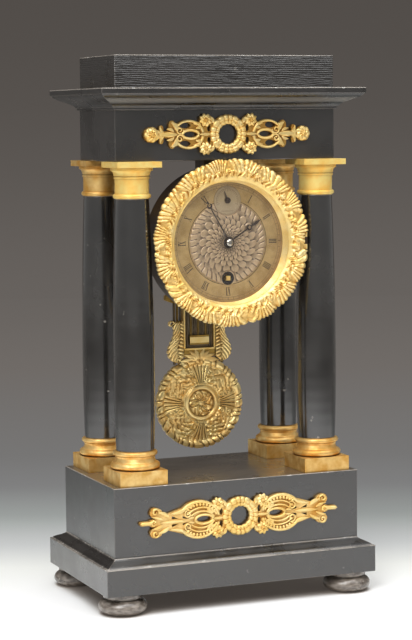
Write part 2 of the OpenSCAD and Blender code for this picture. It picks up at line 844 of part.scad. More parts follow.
// One arm of the plinth mount, pointing right: a scroll shield, a waist, two leaf lobes and a finger
module plinth_arm(y0, y1) {
    tip = plinth_mount_w / 2;
    leaf = tip - 15;
    finger = 1.9;
    difference() {
        pieces(y0, y1) {
            polygon(oval([39, 0], 20, 17, 44));
            polygon([[48, -13], [48, 13], [leaf - 10, 7], [leaf - 10, -7]]);
            polygon([[leaf - 12, -6.5], [leaf - 12, 6.5], [leaf + 1, 7.5], [leaf + 1, -7.5]]);
            for (s = [-1, 1])
                polygon(oval([leaf, s * 8.6], 5.6, 4.2, 24));
            for (s = [-1, 1])
                polygon(oval([leaf + 1, s * 10.6], 3.8, 2.6, 20));
            polygon(oval([leaf + 2.5, 0], 4.5, 3.4, 24));
            polygon([[leaf, -finger], [leaf, finger], [tip - finger, finger], [tip - finger, -finger]]);
            polygon(oval([tip - finger, 0], finger, finger, 20));
        }
        panel(y0 - 1, y1 + 1) {
            polygon(oval([34, 0], 6.6, 2.6, 24));
            for (s = [-1, 1])
                polygon([[49, s * 1.2], [54, s * 4.2], [54, s * 2.2]]);
            for (s = [-1, 1])
                polygon([[58, s * 2.2], [64, s * 4.8], [64, s * 2.4]]);
        }
    }
}

module plinth_mount() {
    back = plinth_front;
    front = plinth_front - mount_t;
    color("#d9ac58") difference() {
        translate([0, 0, plinth_mount_z]) {
            panel(front, back) mount_middle();
            for (s = [0, 1])
                mirror([s, 0, 0]) plinth_arm(front, back);
        }
        mount_pin_set(plinth_pins, plinth_mount_z, plinth_front, set_fit);
    }
}

module mount_pins() {
    color("#e2bd6c") {
        mount_pin_set(frieze_pins, frieze_mount_z, frieze_front, 0);
        mount_pin_set(plinth_pins, plinth_mount_z, plinth_front, 0);
        for (p = frieze_pins)
            translate([p[0], frieze_front - mount_t, frieze_mount_z + p[1]]) pin_head();
        for (p = plinth_pins)
            translate([p[0], plinth_front - mount_t, plinth_mount_z + p[1]]) pin_head();
    }
}

module pin_head() {
    rotate([90, 0, 0]) cylinder(r = pin_head_r, h = pin_head_t, $fn = 24);
}

module column_tie_bolts() {
    under = z_col - plinth_top_t;
    color("#8d8a84") {
        for (c = CORNERS)
            translate([c[0] * col_span_w / 2, c[1] * col_span_d / 2, 0]) {
                translate([0, 0, under - nut_t]) cylinder(d = tie_d, h = z_frieze + tie_grip - under + nut_t);
                translate([0, 0, under - nut_t]) cylinder(d = nut_d, h = nut_t, $fn = 6);
            }
    }
}

module case_screws() {
    color("#8d8a84") {
        base_screw_set(0);
        top_screw_set(0);
        hanger_screw_set(0);
    }
}

// Drum, dial and bezel

module drum_shell() {
    step_in = drum_step_y - drum_wall;
    ledge_r = drum_bore_r - ledge_h;
    color("#5a4026") difference() {
        union() {
            turned_y([
                [drum_r, drum_front_y],
                [drum_r, drum_step_y],
                [rear_drum_r, drum_step_y],
                [rear_drum_r, back_plate_end],
                [rear_bore_r, back_plate_end],
                [rear_bore_r, step_in],
                [drum_bore_r, step_in],
                [drum_bore_r, front_plate_y + drum_wall],
                [ledge_r, front_plate_y + drum_wall],
                [ledge_r, front_plate_y],
                [drum_bore_r, front_plate_y],
                [drum_bore_r, drum_front_y]]);
            hinge_lug();
        }
        ledge_screw_set(set_fit);
        hinge_pin_bar(run_fit);
    }
}

// Lug on the drum: an arm behind the bezel that carries the middle knuckle
module hinge_lug() {
    arm_y = bezel_back + face_gap;
    half = knuckle_h / 2;
    box([drum_r - drum_wall / 2, arm_y, z_dial - half], [hinge_x + 1, arm_y + hinge_arm_t, z_dial + half]);
    box([hinge_x - 1, hinge_y, z_dial - half], [hinge_x + 1, arm_y + hinge_arm_t, z_dial + half]);
    translate([hinge_x, hinge_y, z_dial - half]) cylinder(r = knuckle_r, h = knuckle_h);
}

module hinge_pin_bar(extra) {
    translate([hinge_x, hinge_y, z_dial - hinge_h / 2 - extra])
        cylinder(d = hinge_pin_d + 2 * extra, h = hinge_h + 2 * extra, $fn = 32);
}

module bezel_hinge_pin() {
    color("#b9934c") hinge_pin_bar(0);
}

module drum_hanger() {
    color("#6b5632") difference() {
        box([-hanger_w / 2, hanger_y - hanger_d / 2, z_dial + drum_r * 0.9],
            [hanger_w / 2, hanger_y + hanger_d / 2, z_frieze]);
        bar_y(P_center, drum_r + hanger_seat, hanger_y - hanger_d, hanger_y + hanger_d);
        hanger_screw_set(set_fit);
    }
}

module dial_plate() {
    color("#a59c8c") {
        difference() {
            bar_y(P_center, dial_r, dial_y, dial_back);
            bar_y(P_center, hour_pipe_r + face_gap, dial_y - 1, dial_back + 1);
            bar_y(P_barrel, wind_hole_d / 2, dial_y - 1, dial_back + 1);
            bar_y(P_regulator, regulator_r + face_gap, dial_y - 1, dial_back + 1);
        }
        for (a = DIAL_FEET) {
            bar_y(polar(dial_foot_circle, a), dial_foot_r, dial_back, front_plate_front);
            bar_y(polar(dial_foot_circle, a), dial_pin_r, dial_back, front_plate_y + 1);
        }
        difference() {
            bar_y(P_regulator, regulator_dial_d / 2, dial_y - regulator_rim_t, dial_y);
            bar_y(P_regulator, regulator_dial_d / 2 - regulator_rim_w, dial_y - 1, dial_y + 1);
        }
    }
}

module sight_ring() {
    ring_out = drum_bore_r - 2;
    color("#d8ab55") turned_y([
        [sight_r, dial_y],
        [ring_out, dial_y],
        [ring_out, drum_front_y],
        [sight_edge_r, drum_front_y],
        [sight_r, dial_y - 0.6]]);
}

module bezel() {
    seat_r = glass_r + 0.15;
    crest = (bezel_r + seat_r) / 2;
    notch = hinge_h / 2 + 0.5;
    leaf_low = knuckle_h / 2 + 0.2;
    leaf_high = hinge_h / 2 - 0.1;
    color("#dcae56") difference() {
        union() {
            difference() {
                turned_y([
                    [seat_r, bezel_back],
                    [bezel_r - 2, bezel_back],
                    [bezel_r, bezel_back - 1.3],
                    [bezel_r, bezel_front + 3.3],
                    [bezel_r - 3, bezel_front + 0.9],
                    [crest, bezel_front],
                    [seat_r + 1, bezel_front + 1.2],
                    [bezel_hole_r + 1, glass_front - 1.1],
                    [bezel_hole_r, glass_front - 0.6],
                    [bezel_hole_r, glass_front],
                    [seat_r, glass_front]]);
                box([hinge_notch_x, bezel_front - 1, z_dial - notch],
                    [bezel_r + 1, bezel_back + 1, z_dial + notch]);
            }
            for (s = [0, 1])
                translate([0, 0, z_dial]) mirror([0, 0, s]) {
                    box([hinge_notch_x - 1.5, hinge_y - 1.2, leaf_low], [hinge_x, hinge_y + 1.2, leaf_high]);
                    translate([hinge_x, hinge_y, leaf_low]) cylinder(r = knuckle_r, h = leaf_high - leaf_low);
                }
        }
        hinge_pin_bar(run_fit);
    }
}

module bezel_glass() {
    color([0.85, 0.9, 0.92, 0.25]) bar_y(P_center, glass_r, glass_front, glass_front + glass_t);
}

// Hands

// A hand pointing up: a thin tapered blade, a ring and an arrow head with a fine point
module hand_shape(reach, ring_at, boss, ring, wide, head) {
    head_at = reach - 0.35 * (reach - ring_at);
    difference() {
        union() {
            circle(r = boss);
            polygon([[-wide / 2, 0], [wide / 2, 0], [wide * 0.35, ring_at], [-wide * 0.35, ring_at]]);
            translate([0, ring_at]) circle(r = ring);
            polygon([
                [-wide * 0.35, ring_at],
                [wide * 0.35, ring_at],
                [head / 2, head_at],
                [0.1, reach],
                [-0.1, reach],
                [-head / 2, head_at]]);
        }
        translate([0, ring_at + 0.25 * ring]) circle(r = ring * 0.55);
    }
}

module minute_hand() {
    color("#1c2029") difference() {
        plate_y(P_center, hand_end, minute_hand_back) rotate(-minute_turn)
            hand_shape(minute_len, minute_ring_at, boss = 3.6, ring = 2.4, wide = 1.2, head = 1.5);
        bar_y(P_center, cannon_r + set_fit, hand_end - 1, minute_hand_back + 1);
    }
}

module hour_hand() {
    color("#1c2029") difference() {
        plate_y(P_center, hour_hand_back - hand_t, hour_hand_back)
            rotate(-hour_turn)
            hand_shape(hour_len, hour_ring_at, boss = 5, ring = 2.6, wide = 1.4, head = 2.6);
        bar_y(P_center, hour_pipe_r + set_fit, hour_hand_back - hand_t - 1, hour_hand_back + 1);
    }
}

module hand_collet() {
    cap_t = 1.2;
    color("#c8c2b4") translate([0, hand_end, z_dial]) rotate([90, 0, 0]) rotate_extrude()
        polygon([[0, 0], [3, 0], [3, 0.4], [1.8, cap_t], [0, cap_t]]);
}

module regulator_hand() {
    back = dial_y - 0.8;
    color("#1c2029") difference() {
        plate_y(P_regulator, back - hand_t, back) rotate(regulator_turn) union() {
            circle(r = 2.6);
            polygon([[-0.7, 0], [0.7, 0], [0.1, regulator_len], [-0.1, regulator_len]]);
        }
        bar_y(P_regulator, regulator_r + set_fit, back - hand_t - 1, back + 1);
    }
}

// Movement frame

module ledge_screw_set(extra) {
    for (a = LEDGE_SCREWS)
        bar_y(polar(drum_bore_r - ledge_h / 2 - 0.4, a), small_screw_r + extra,
            front_plate_front, front_plate_y + ledge_grip);
}

module plate_screw_set(extra) {
    for (a = PILLARS) {
        bar_y(polar(pillar_circle_r, a), small_screw_r + extra,
            front_plate_front, front_plate_y + pillar_grip);
        bar_y(polar(pillar_circle_r, a), small_screw_r + extra, back_plate_y - pillar_grip, back_plate_end);
    }
}

module cock_screw_set(extra) {
    for (s = [-1, 1])
        bar_y([s * cock_screw_x, cock_foot_z + cock_foot_h / 2 - z_dial], small_screw_r + extra,
            back_plate_y, back_plate_end + cheek_t + 1);
}

module movement_screws() {
    color("#7f8894") {
        ledge_screw_set(0);
        plate_screw_set(0);
        cock_screw_set(0);
        for (a = LEDGE_SCREWS)
            bar_y(polar(drum_bore_r - ledge_h / 2 - 0.4, a), small_head_r,
                front_plate_front - small_head_t, front_plate_front);
        for (a = PILLARS) {
            bar_y(polar(pillar_circle_r, a), small_head_r,
                front_plate_front - small_head_t, front_plate_front);
            bar_y(polar(pillar_circle_r, a), small_head_r, back_plate_end, back_plate_end + small_head_t);
        }
        for (s = [-1, 1])
            bar_y([s * cock_screw_x, cock_foot_z + cock_foot_h / 2 - z_dial], small_head_r,
                back_plate_end + cheek_t + 1, back_plate_end + cheek_t + 1 + small_head_t);
    }
}

module front_plate() {
    low = front_plate_front - 1;
    high = front_plate_y + 1;
    color("#c2a050") {
        difference() {
            bar_y(P_center, front_plate_r, front_plate_front, front_plate_y);
            bar_y(P_center, center_r + run_fit, low, high);
            bar_y(P_barrel, barrel_pivot_r + run_fit, low, high);
            bar_y(P_inter, pivot_r + run_fit, low, high);
            bar_y(P_third, pivot_r + run_fit, low, high);
            bar_y(P_escape, fine_pivot_r + run_fit, low, high);
            bar_y(P_pallet, fine_pivot_r + run_fit, low, high);
            bar_y(P_regulator, regulator_r + run_fit, low, high);
            for (a = DIAL_FEET)
                bar_y(polar(dial_foot_circle, a), dial_pin_r + set_fit, low, high);
            ledge_screw_set(set_fit);
            plate_screw_set(set_fit);
        }
        bar_y(P_minute, stud_r, hour_wheel_front - 0.2, front_plate_front);
        bar_y(click_post, stud_r, ratchet_back - ratchet_t - 0.4, front_plate_front);
    }
}

module back_plate() {
    low = back_plate_y - 1;
    high = back_plate_end + 1;
    color("#c2a050") difference() {
        bar_y(P_center, back_plate_r, back_plate_y, back_plate_end);
        bar_y(P_center, center_pivot_r + run_fit, low, high);
        bar_y(P_barrel, barrel_pivot_r + run_fit, low, high);
        bar_y(P_inter, pivot_r + run_fit, low, high);
        bar_y(P_third, pivot_r + run_fit, low, high);
        bar_y(P_escape, fine_pivot_r + run_fit, low, high);
        bar_y(P_pallet, 3, low, high);
        bar_y(P_regulator, regulator_r + run_fit, low, high);
        plate_screw_set(set_fit);
        cock_screw_set(set_fit);
    }
}

module movement_pillars() {
    color("#c2a050") difference() {
        for (a = PILLARS)
            bar_y(polar(pillar_circle_r, a), pillar_d / 2, front_plate_y, back_plate_y);
        plate_screw_set(set_fit);
    }
}

// Going train

// An arbor with a pivot at each end
module arbor(p, r, end_r) {
    bar_y(p, r, front_plate_y + 0.4, back_plate_y - 0.4);
    bar_y(p, end_r, front_plate_y - pivot_grip, back_plate_y + pivot_grip);
}

// A wheel with crossings cut out between its spokes
module spoked_wheel(p, y, t, n, m, leaves, turn, spokes) {
    rim = n * m / 2 - 1.1 * m - 1.4;
    plate_y(p, y, y + t) difference() {
        polygon(wheel_outline(n, m, leaves, turn));
        difference() {
            circle(r = rim);
            circle(r = rim * 0.3);
            for (k = [0 : spokes - 1])
                rotate(turn + 360 * k / spokes) translate([0, -0.7]) square([rim + 1, 1.4]);
        }
    }
}

module mainspring_barrel() {
    turn = heading(P_barrel, P_inter);
    wall = 1;
    wheel_back = barrel_wheel_y + barrel_wheel_t;
    color("#b8944a") difference() {
        union() {
            plate_y(P_barrel, barrel_wheel_y, wheel_back)
                polygon(wheel_outline(barrel_teeth, barrel_m, inter_leaves, turn));
            bar_y(P_barrel, barrel_d / 2, wheel_back, barrel_back);
        }
        bar_y(P_barrel, barrel_d / 2 - wall, wheel_back, barrel_back - barrel_lid_t);
        bar_y(P_barrel, barrel_shaft_r + run_fit, barrel_wheel_y - 1, barrel_back + 1);
    }
}

module barrel_arbor() {
    half = wind_square / 2;
    color("#9aa0a6") {
        bar_y(P_barrel, barrel_pivot_r, ratchet_back - ratchet_t, back_plate_end - 0.5);
        bar_y(P_barrel, barrel_shaft_r, front_plate_y + 0.5, inter_wheel_y - 1);
        bar_y(P_barrel, barrel_core_r,
            barrel_wheel_y + barrel_wheel_t + 0.5, barrel_back - barrel_lid_t - 0.5);
        plate_y(P_barrel, winding_end, ratchet_back - ratchet_t)
            translate([-half, -half]) square(wind_square);
    }
}

module mainspring() {
    turns = 7;
    steps = 24;
    blade = 0.5;
    from = barrel_core_r + 0.3;
    reach = barrel_d / 2 - 1 - 0.3 - blade - from;
    inner = [for (i = [0 : turns * steps]) polar(from + reach * i / (turns * steps), 360 * i / steps)];
    outer = [for (i = [turns * steps : -1 : 0])
        polar(from + blade + reach * i / (turns * steps), 360 * i / steps)];
    color("#5c6570")
        plate_y(P_barrel, barrel_wheel_y + barrel_wheel_t + 1.5, barrel_back - barrel_lid_t - 1.5)
        polygon(concat(inner, outer));
}

module ratchet_wheel() {
    color("#9aa0a6") difference() {
        plate_y(P_barrel, ratchet_back - ratchet_t, ratchet_back)
            polygon(saw_outline(24, ratchet_r, 1.2, 0));
        bar_y(P_barrel, barrel_pivot_r + set_fit, ratchet_back - ratchet_t - 1, ratchet_back + 1);
    }
}

module click() {
    along = (click_nose - click_post) / norm(click_nose - click_post);
    out = [-along[1], along[0]];
    color("#9aa0a6") difference() {
        plate_y(P_center, ratchet_back - ratchet_t, ratchet_back) {
            translate(click_post) circle(r = click_hub_r);
            polygon([click_post + 1.4 * out, click_post - 0.6 * out, click_nose, click_nose + 1.2 * out]);
        }
        bar_y(click_post, stud_r + run_fit, ratchet_back - ratchet_t - 1, ratchet_back + 1);
    }
}

module intermediate_wheel() {
    pinion_turn = heading(P_inter, P_barrel) + 180 / inter_leaves;
    color("#c2a050") {
        arbor(P_inter, inter_r, pivot_r);
        plate_y(P_inter, barrel_wheel_y - 1, barrel_wheel_y + barrel_wheel_t + 1)
            polygon(pinion_outline(inter_leaves, barrel_m, pinion_turn));
        spoked_wheel(P_inter, inter_wheel_y, wheel_t, inter_teeth, inter_m, center_leaves,
            heading(P_inter, P_center), 5);
    }
}

module center_wheel() {
    pinion_turn = heading(P_center, P_inter) + 180 / center_leaves;
    color("#c2a050") {
        bar_y(P_center, center_front_r, hand_end + 0.2, front_plate_y);
        bar_y(P_center, center_r, front_plate_front - 0.3, back_plate_y - 0.4);
        bar_y(P_center, center_pivot_r, 0, back_plate_y + pivot_grip);
        plate_y(P_center, inter_wheel_y - 1, inter_wheel_y + wheel_t + 1)
            polygon(pinion_outline(center_leaves, inter_m, pinion_turn));
        spoked_wheel(P_center, center_wheel_y, wheel_t, center_teeth, center_m, third_leaves,
            heading(P_center, P_third), 5);
    }
}

module third_wheel() {
    pinion_turn = heading(P_third, P_center) + 180 / third_leaves;
    pinion_core = third_leaves * center_m / 2 - 1.55 * center_m;
    color("#c2a050") {
        bar_y(P_third, pivot_r, front_plate_y - pivot_grip, back_plate_y + pivot_grip);
        bar_y(P_third, thin_r, front_plate_y + 0.4, center_wheel_y - 1.2);
        bar_y(P_third, pinion_core, center_wheel_y - 1.2, back_plate_y - 0.4);
        plate_y(P_third, center_wheel_y - 1.2, center_wheel_y + wheel_t + 1.2)
            polygon(pinion_outline(third_leaves, center_m, pinion_turn));
        spoked_wheel(P_third, third_wheel_y, wheel_t, third_teeth, third_m, escape_leaves,
            heading(P_third, P_escape), 5);
    }
}

module escape_wheel() {
    pinion_turn = heading(P_escape, P_third) + 180 / escape_leaves;
    pinion_back = third_wheel_y + wheel_t + 1.5;
    color("#c2a050") {
        bar_y(P_escape, fine_pivot_r, front_plate_y - pivot_grip, back_plate_y + pivot_grip);
        bar_y(P_escape, thin_r, pinion_back, back_plate_y - 0.4);
        plate_y(P_escape, third_wheel_y - 1.5, pinion_back)
            polygon(pinion_outline(escape_leaves, third_m, pinion_turn));
        plate_y(P_escape, escape_wheel_y, escape_wheel_y + wheel_t) difference() {
            polygon(saw_outline(escape_teeth, escape_r, 1.6, 0));
            difference() {
                circle(r = escape_r - 2.6);
                circle(r = 1.8);
                for (k = [0 : 3])
                    rotate(90 * k) translate([0, -0.5]) square([escape_r - 2, 1]);
            }
        }
    }
}

module pallets() {
    inside = escape_r + pallet_gap;
    anchor_y = escape_wheel_y - 0.2;
    color("#9aa0a6") {
        bar_y(P_pallet, thin_r, front_plate_y + 0.4, cheek_y - 0.4);
        bar_y(P_pallet, fine_pivot_r, front_plate_y - pivot_grip, cheek_y + cheek_t - 0.4);
        plate_y(P_escape, anchor_y, anchor_y + wheel_t + 0.4) union() {
            polygon(concat(
                arc([0, 0], inside, 90 - anchor_reach, 90 + anchor_reach, 20),
                arc([0, 0], pallet_rise, 90 + anchor_reach, 90 - anchor_reach, 20)));
            translate([0, pallet_rise]) circle(r = 2.2);
        }
    }
}

module crutch() {
    low = P_pallet - [0, crutch_drop];
    rod_w = 1.6;
    fork_in = rod_d / 2 + fork_gap;
    fork_out = fork_in + fork_t;
    fork_front = pendulum_y - 6;
    fork_back = pendulum_y + 5;
    z = z_dial + low[1];
    color("#8f969e") difference() {
        union() {
            bar_y(P_pallet, 2.4, crutch_y, crutch_y + crutch_t);
            plate_y(low, crutch_y, crutch_y + crutch_t)
                translate([-rod_w / 2, -fork_h / 2]) square([rod_w, crutch_drop + fork_h / 2]);
            box([-rod_w / 2, crutch_y, z - fork_h / 2], [rod_w / 2, fork_front, z + fork_h / 2]);
            box([-fork_out, fork_front - fork_t, z - fork_h / 2], [fork_out, fork_front, z + fork_h / 2]);
            for (s = [0, 1])
                mirror([s, 0, 0]) box([fork_in, fork_front - fork_t, z - fork_h / 2],
                    [fork_out, fork_back, z + fork_h / 2]);
        }
        bar_y(P_pallet, thin_r + set_fit, crutch_y - 1, crutch_y + crutch_t + 1);
    }
}

// Motion work

module cannon_pinion() {
    turn = heading(P_center, P_minute) + 180 / cannon_leaves;
    color("#9aa0a6") difference() {
        union() {
            bar_y(P_center, cannon_r, hand_end, motion_low);
            plate_y(P_center, motion_mid, motion_low)
                polygon(pinion_outline(cannon_leaves, cannon_m, turn));
        }
        bar_y(P_center, cannon_bore_r, hand_end + 0.1, motion_low + 1);
    }
}

module minute_wheel() {
    turn = heading(P_minute, P_center);
    color("#c2a050") difference() {
        union() {
            plate_y(P_minute, motion_mid, motion_low)
                polygon(wheel_outline(minute_teeth, cannon_m, cannon_leaves, turn));
            plate_y(P_minute, hour_wheel_front, motion_mid)
                polygon(pinion_outline(minute_leaves, hour_m, turn + 180 / minute_leaves));
        }
        bar_y(P_minute, stud_r + run_fit, hour_wheel_front - 1, motion_low + 1);
    }
}

module hour_wheel() {
    turn = heading(P_center, P_minute);
    color("#c2a050") difference() {
        union() {
            bar_y(P_center, hour_pipe_r, hour_hand_back - hand_t, hour_wheel_back);
            plate_y(P_center, hour_wheel_front, hour_wheel_back)
                polygon(wheel_outline(hour_teeth, hour_m, minute_leaves, turn));
        }
        bar_y(P_center, hour_bore_r, hour_hand_back - hand_t - 1, hour_wheel_back + 1);
    }
}

// Suspension and regulator

module suspension_cock() {
    half = cock_w / 2;
    guide_in = slide_w / 2 + face_gap;
    guide_low = slide_low - 3;
    arm_back = slide_y + slide_d;
    color("#c2a050") difference() {
        union() {
            box([-cock_foot_w / 2, back_plate_end, cock_foot_z],
                [cock_foot_w / 2, back_plate_end + cheek_t + 1, cock_foot_z + cock_foot_h]);
            box([-half, back_plate_end, cock_foot_z],
                [half, back_plate_end + cheek_t + 1, cock_arm_z + cock_arm_t]);
            box([-half, back_plate_end, cock_arm_z], [half, arm_back, cock_arm_z + cock_arm_t]);
            box([-6, cheek_y, susp_z - 3.6], [6, cheek_y + cheek_t, cock_arm_z + 1]);
            for (s = [0, 1])
                mirror([s, 0, 0]) box([guide_in, slide_y, guide_low], [half, arm_back, cock_arm_z + 1]);
        }
        bar_y(P_pallet, fine_pivot_r + run_fit, cheek_y - 1, cheek_y + cheek_t + 1);
        bar_y(P_regulator, regulator_r + run_fit, cheek_y - 1, cheek_y + cheek_t + 1);
        cock_screw_set(set_fit);
    }
}

module regulator_arbor() {
    front = dial_y - 0.8 - hand_t;
    color("#9aa0a6") {
        bar_y(P_regulator, regulator_r, front, cheek_y + cheek_t + 0.4);
        bar_y(P_regulator, 1.1, front, rack_y + rack_t);
        plate_y(P_regulator, rack_y, rack_y + rack_t)
            polygon(pinion_outline(rack_leaves, rack_m, 180 / rack_leaves));
    }
}

// Rack teeth point left to the pinion; one tooth lies on the line of centres
module rack_shape() {
    tooth = rack_pitch * 0.2;
    root = rack_r + 1.15 * rack_m;
    tip = rack_r - 0.75 * rack_m;
    translate([root, -rack_reach]) square([rack_body_w, 2 * rack_reach]);
    for (k = [-3 : 3])
        translate([0, k * rack_pitch])
            polygon([[root, -tooth * 1.5], [root, tooth * 1.5], [tip, tooth * 0.5], [tip, -tooth * 0.5]]);
}

module suspension_slide() {
    half = slide_w / 2;
    back = slide_y + slide_d;
    high = slide_low + slide_h;
    rack_in = rack_r + 1.15 * rack_m;
    color("#b8944a") {
        box([-half, slide_y, slide_low], [half, back, high]);
        box([-half, slide_y, susp_z - 2.6], [half, slide_y + slide_cheek_t, slide_low]);
        box([-half, back - slide_cheek_t, susp_z - 2.6], [half, back, slide_low]);
        bar_y(P_pallet, susp_pin_r, slide_y, back);
        plate_y(P_regulator, rack_y, rack_y + rack_t) rack_shape();
        box([rack_in, rack_y, slide_low + 0.5], [rack_in + rack_body_w, slide_y, slide_low + 6]);
    }
}

module suspension_spring() {
    chop_d = slide_d - 2 * slide_cheek_t - 2 * face_gap;
    chop_y = pendulum_y - chop_d / 2;
    strip_low = spring_top - spring_h;
    color("#9aa0a6") {
        difference() {
            box([-chop_w / 2, chop_y, spring_top], [chop_w / 2, chop_y + chop_d, slide_low - 0.6]);
            bar_y(P_pallet, susp_pin_r + run_fit, chop_y - 1, chop_y + chop_d + 1);
        }
        for (s = [0, 1])
            box([-spring_t / 2, chop_y + 0.3 + s * (chop_d / 2), strip_low],
                [spring_t / 2, chop_y + chop_d / 2 - 0.3 + s * (chop_d / 2), spring_top]);
        box([-chop_w / 2, chop_y, strip_low - chop_h], [chop_w / 2, chop_y + chop_d, strip_low]);
    }
}

// Pendulum

module pendulum_frame() {
    y0 = pendulum_y - frame_t / 2;
    y1 = pendulum_y + frame_t / 2;
    bar_w = 2 * (3.5 * grid_pitch + grid_rod_d);
    board_y = pendulum_y + grid_rod_d / 2 + face_gap;
    rods_w = 2 * (outer_rods[2] * grid_pitch + grid_rod_d);
    color("#9c7838") {
        translate([0, pendulum_y, grid_top + grid_bar_h])
            cylinder(d = rod_d, h = pend_rod_top - grid_top - grid_bar_h);
        panel(y0, y1) polygon(both_sides([
            [rods_w / 2, grid_top],
            [grid_w / 2, grid_top + 2.5],
            [grid_w / 2, grid_top + grid_bar_h - 2.5],
            [rods_w / 2, grid_top + grid_bar_h]]));
        box([-bar_w / 2, y0, bar_z], [bar_w / 2, y1, bar_z + bar_h]);
        box([-block_w / 2, y0, block_z], [block_w / 2, y1, block_z + block_h]);
        box([-bar_w / 2, board_y, bar_z], [bar_w / 2, y1, grid_top + 1]);
    }
}

module gridiron_rods() {
    r = grid_rod_d / 2;
    color("#7d6a45") {
        for (k = inner_rods) {
            short = abs(k) < 2.5;
            low = short ? block_z + block_h : bar_z + bar_h;
            translate([k * grid_pitch, pendulum_y, low]) cylinder(r = r, h = grid_top - low);
        }
        for (k = outer_rods, s = [-1, 1]) {
            x = k * grid_pitch;
            low = bob_z + sqrt(bob_r * bob_r - pow(x - r, 2)) + 0.2;
            translate([s * x, pendulum_y, low]) cylinder(r = r, h = grid_top - low);
        }
    }
}

module pendulum_wings() {
    back = pendulum_y - grid_rod_d / 2 - 0.1;
    inner = 4.3 * grid_pitch;
    outer = wing_span / 2;
    mid = (inner + outer) / 2;
    half = (outer - inner) / 2;
    low = bob_z + bob_r - wing_drop;
    color("#a9823f") panel(back - wing_t, back) {
        for (s = [0, 1])
            mirror([s, 0]) union() {
                polygon(oval([mid, low + wing_low_h / 2], half, wing_low_h / 2, 36));
                polygon(oval([mid - wing_lean, low + wing_low_h], half - wing_top_in, wing_top_h / 2, 28));
            }
    }
}

module pendulum_bob() {
    steps = 12;
    half = bob_t / 2;
    rim = bob_rim_t / 2;
    curve = [for (i = [0 : steps]) let (t = i / steps) [bob_r * t, rim + (half - rim) * (1 - t * t)]];
    color("#9c7838") translate([0, pendulum_y, bob_z]) rotate([-90, 0, 0])
        rotate_extrude($fn = 96) polygon(concat(
            [for (p = curve) [p[0], -p[1]]],
            [for (i = [steps : -1 : 0]) curve[i]]));
}

base_slab();
plinth_box();
bun_feet();
column_base(FL);  // column_base_fl
column_base(FR);  // column_base_fr
column_base(RL);  // column_base_rl
column_base(RR);  // column_base_rr
column_shaft(FL);  // column_shaft_fl
column_shaft(FR);  // column_shaft_fr
column_shaft(RL);  // column_shaft_rl
column_shaft(RR);  // column_shaft_rr
capital(FL);  // capital_fl
capital(FR);  // capital_fr
capital(RL);  // capital_rl
capital(RR);  // capital_rr
frieze_box();
cornice();
top_block();
frieze_mount();
plinth_mount();
column_tie_bolts();
mount_pins();
case_screws();
drum_shell();
drum_hanger();
dial_plate();
sight_ring();
bezel();
bezel_glass();
bezel_hinge_pin();
minute_hand();
hour_hand();
hand_collet();
regulator_hand();
front_plate();
back_plate();
movement_pillars();
movement_screws();
mainspring_barrel();
barrel_arbor();
mainspring();
ratchet_wheel();
click();
intermediate_wheel();
center_wheel();
third_wheel();
escape_wheel();
pallets();
crutch();
cannon_pinion();
minute_wheel();
hour_wheel();
suspension_cock();
suspension_slide();
suspension_spring();
regulator_arbor();
pendulum_frame();
gridiron_rods();
pendulum_wings();
pendulum_bob();
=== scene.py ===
"""Portico clock: relief, finishes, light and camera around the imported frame.

Sizes are in millimetres, in the frame's own axes: X to the right, Y to the back, Z up. A mesh is
scaled to metres when it is made. The dial faces -Y, so what stands out towards the viewer has a
lower Y.
"""

import logging
import math
from dataclasses import dataclass, field
from enum import Enum

import bmesh
import bpy
import numpy as np
from mathutils import Matrix, Vector


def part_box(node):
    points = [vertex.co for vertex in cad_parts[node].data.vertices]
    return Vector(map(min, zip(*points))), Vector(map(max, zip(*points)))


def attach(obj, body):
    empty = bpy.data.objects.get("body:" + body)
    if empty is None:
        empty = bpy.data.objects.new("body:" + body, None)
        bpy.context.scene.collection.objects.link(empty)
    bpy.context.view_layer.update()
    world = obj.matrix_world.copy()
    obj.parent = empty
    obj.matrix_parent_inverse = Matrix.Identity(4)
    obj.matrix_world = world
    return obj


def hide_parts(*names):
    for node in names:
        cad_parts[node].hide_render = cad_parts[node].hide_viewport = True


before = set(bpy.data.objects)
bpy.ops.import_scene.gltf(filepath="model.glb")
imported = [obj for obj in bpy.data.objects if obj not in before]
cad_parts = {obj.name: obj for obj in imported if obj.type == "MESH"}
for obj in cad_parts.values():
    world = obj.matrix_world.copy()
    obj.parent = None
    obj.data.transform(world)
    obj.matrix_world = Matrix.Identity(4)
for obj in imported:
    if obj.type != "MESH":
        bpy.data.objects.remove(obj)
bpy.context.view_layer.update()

MM = 0.001
TURN = 2 * np.pi
WAVE_BAND = 0.314  # a wave node's bands repeat every 0.314 / scale
SEAT = 0.3  # how deep a raised piece sits in the face that it stands on
SEAM = 0.001  # points closer than this are one point
SHARP = math.radians(50)  # faces that meet at more than this keep their edge
LOG = logging.getLogger("portico_clock")


# Shapes


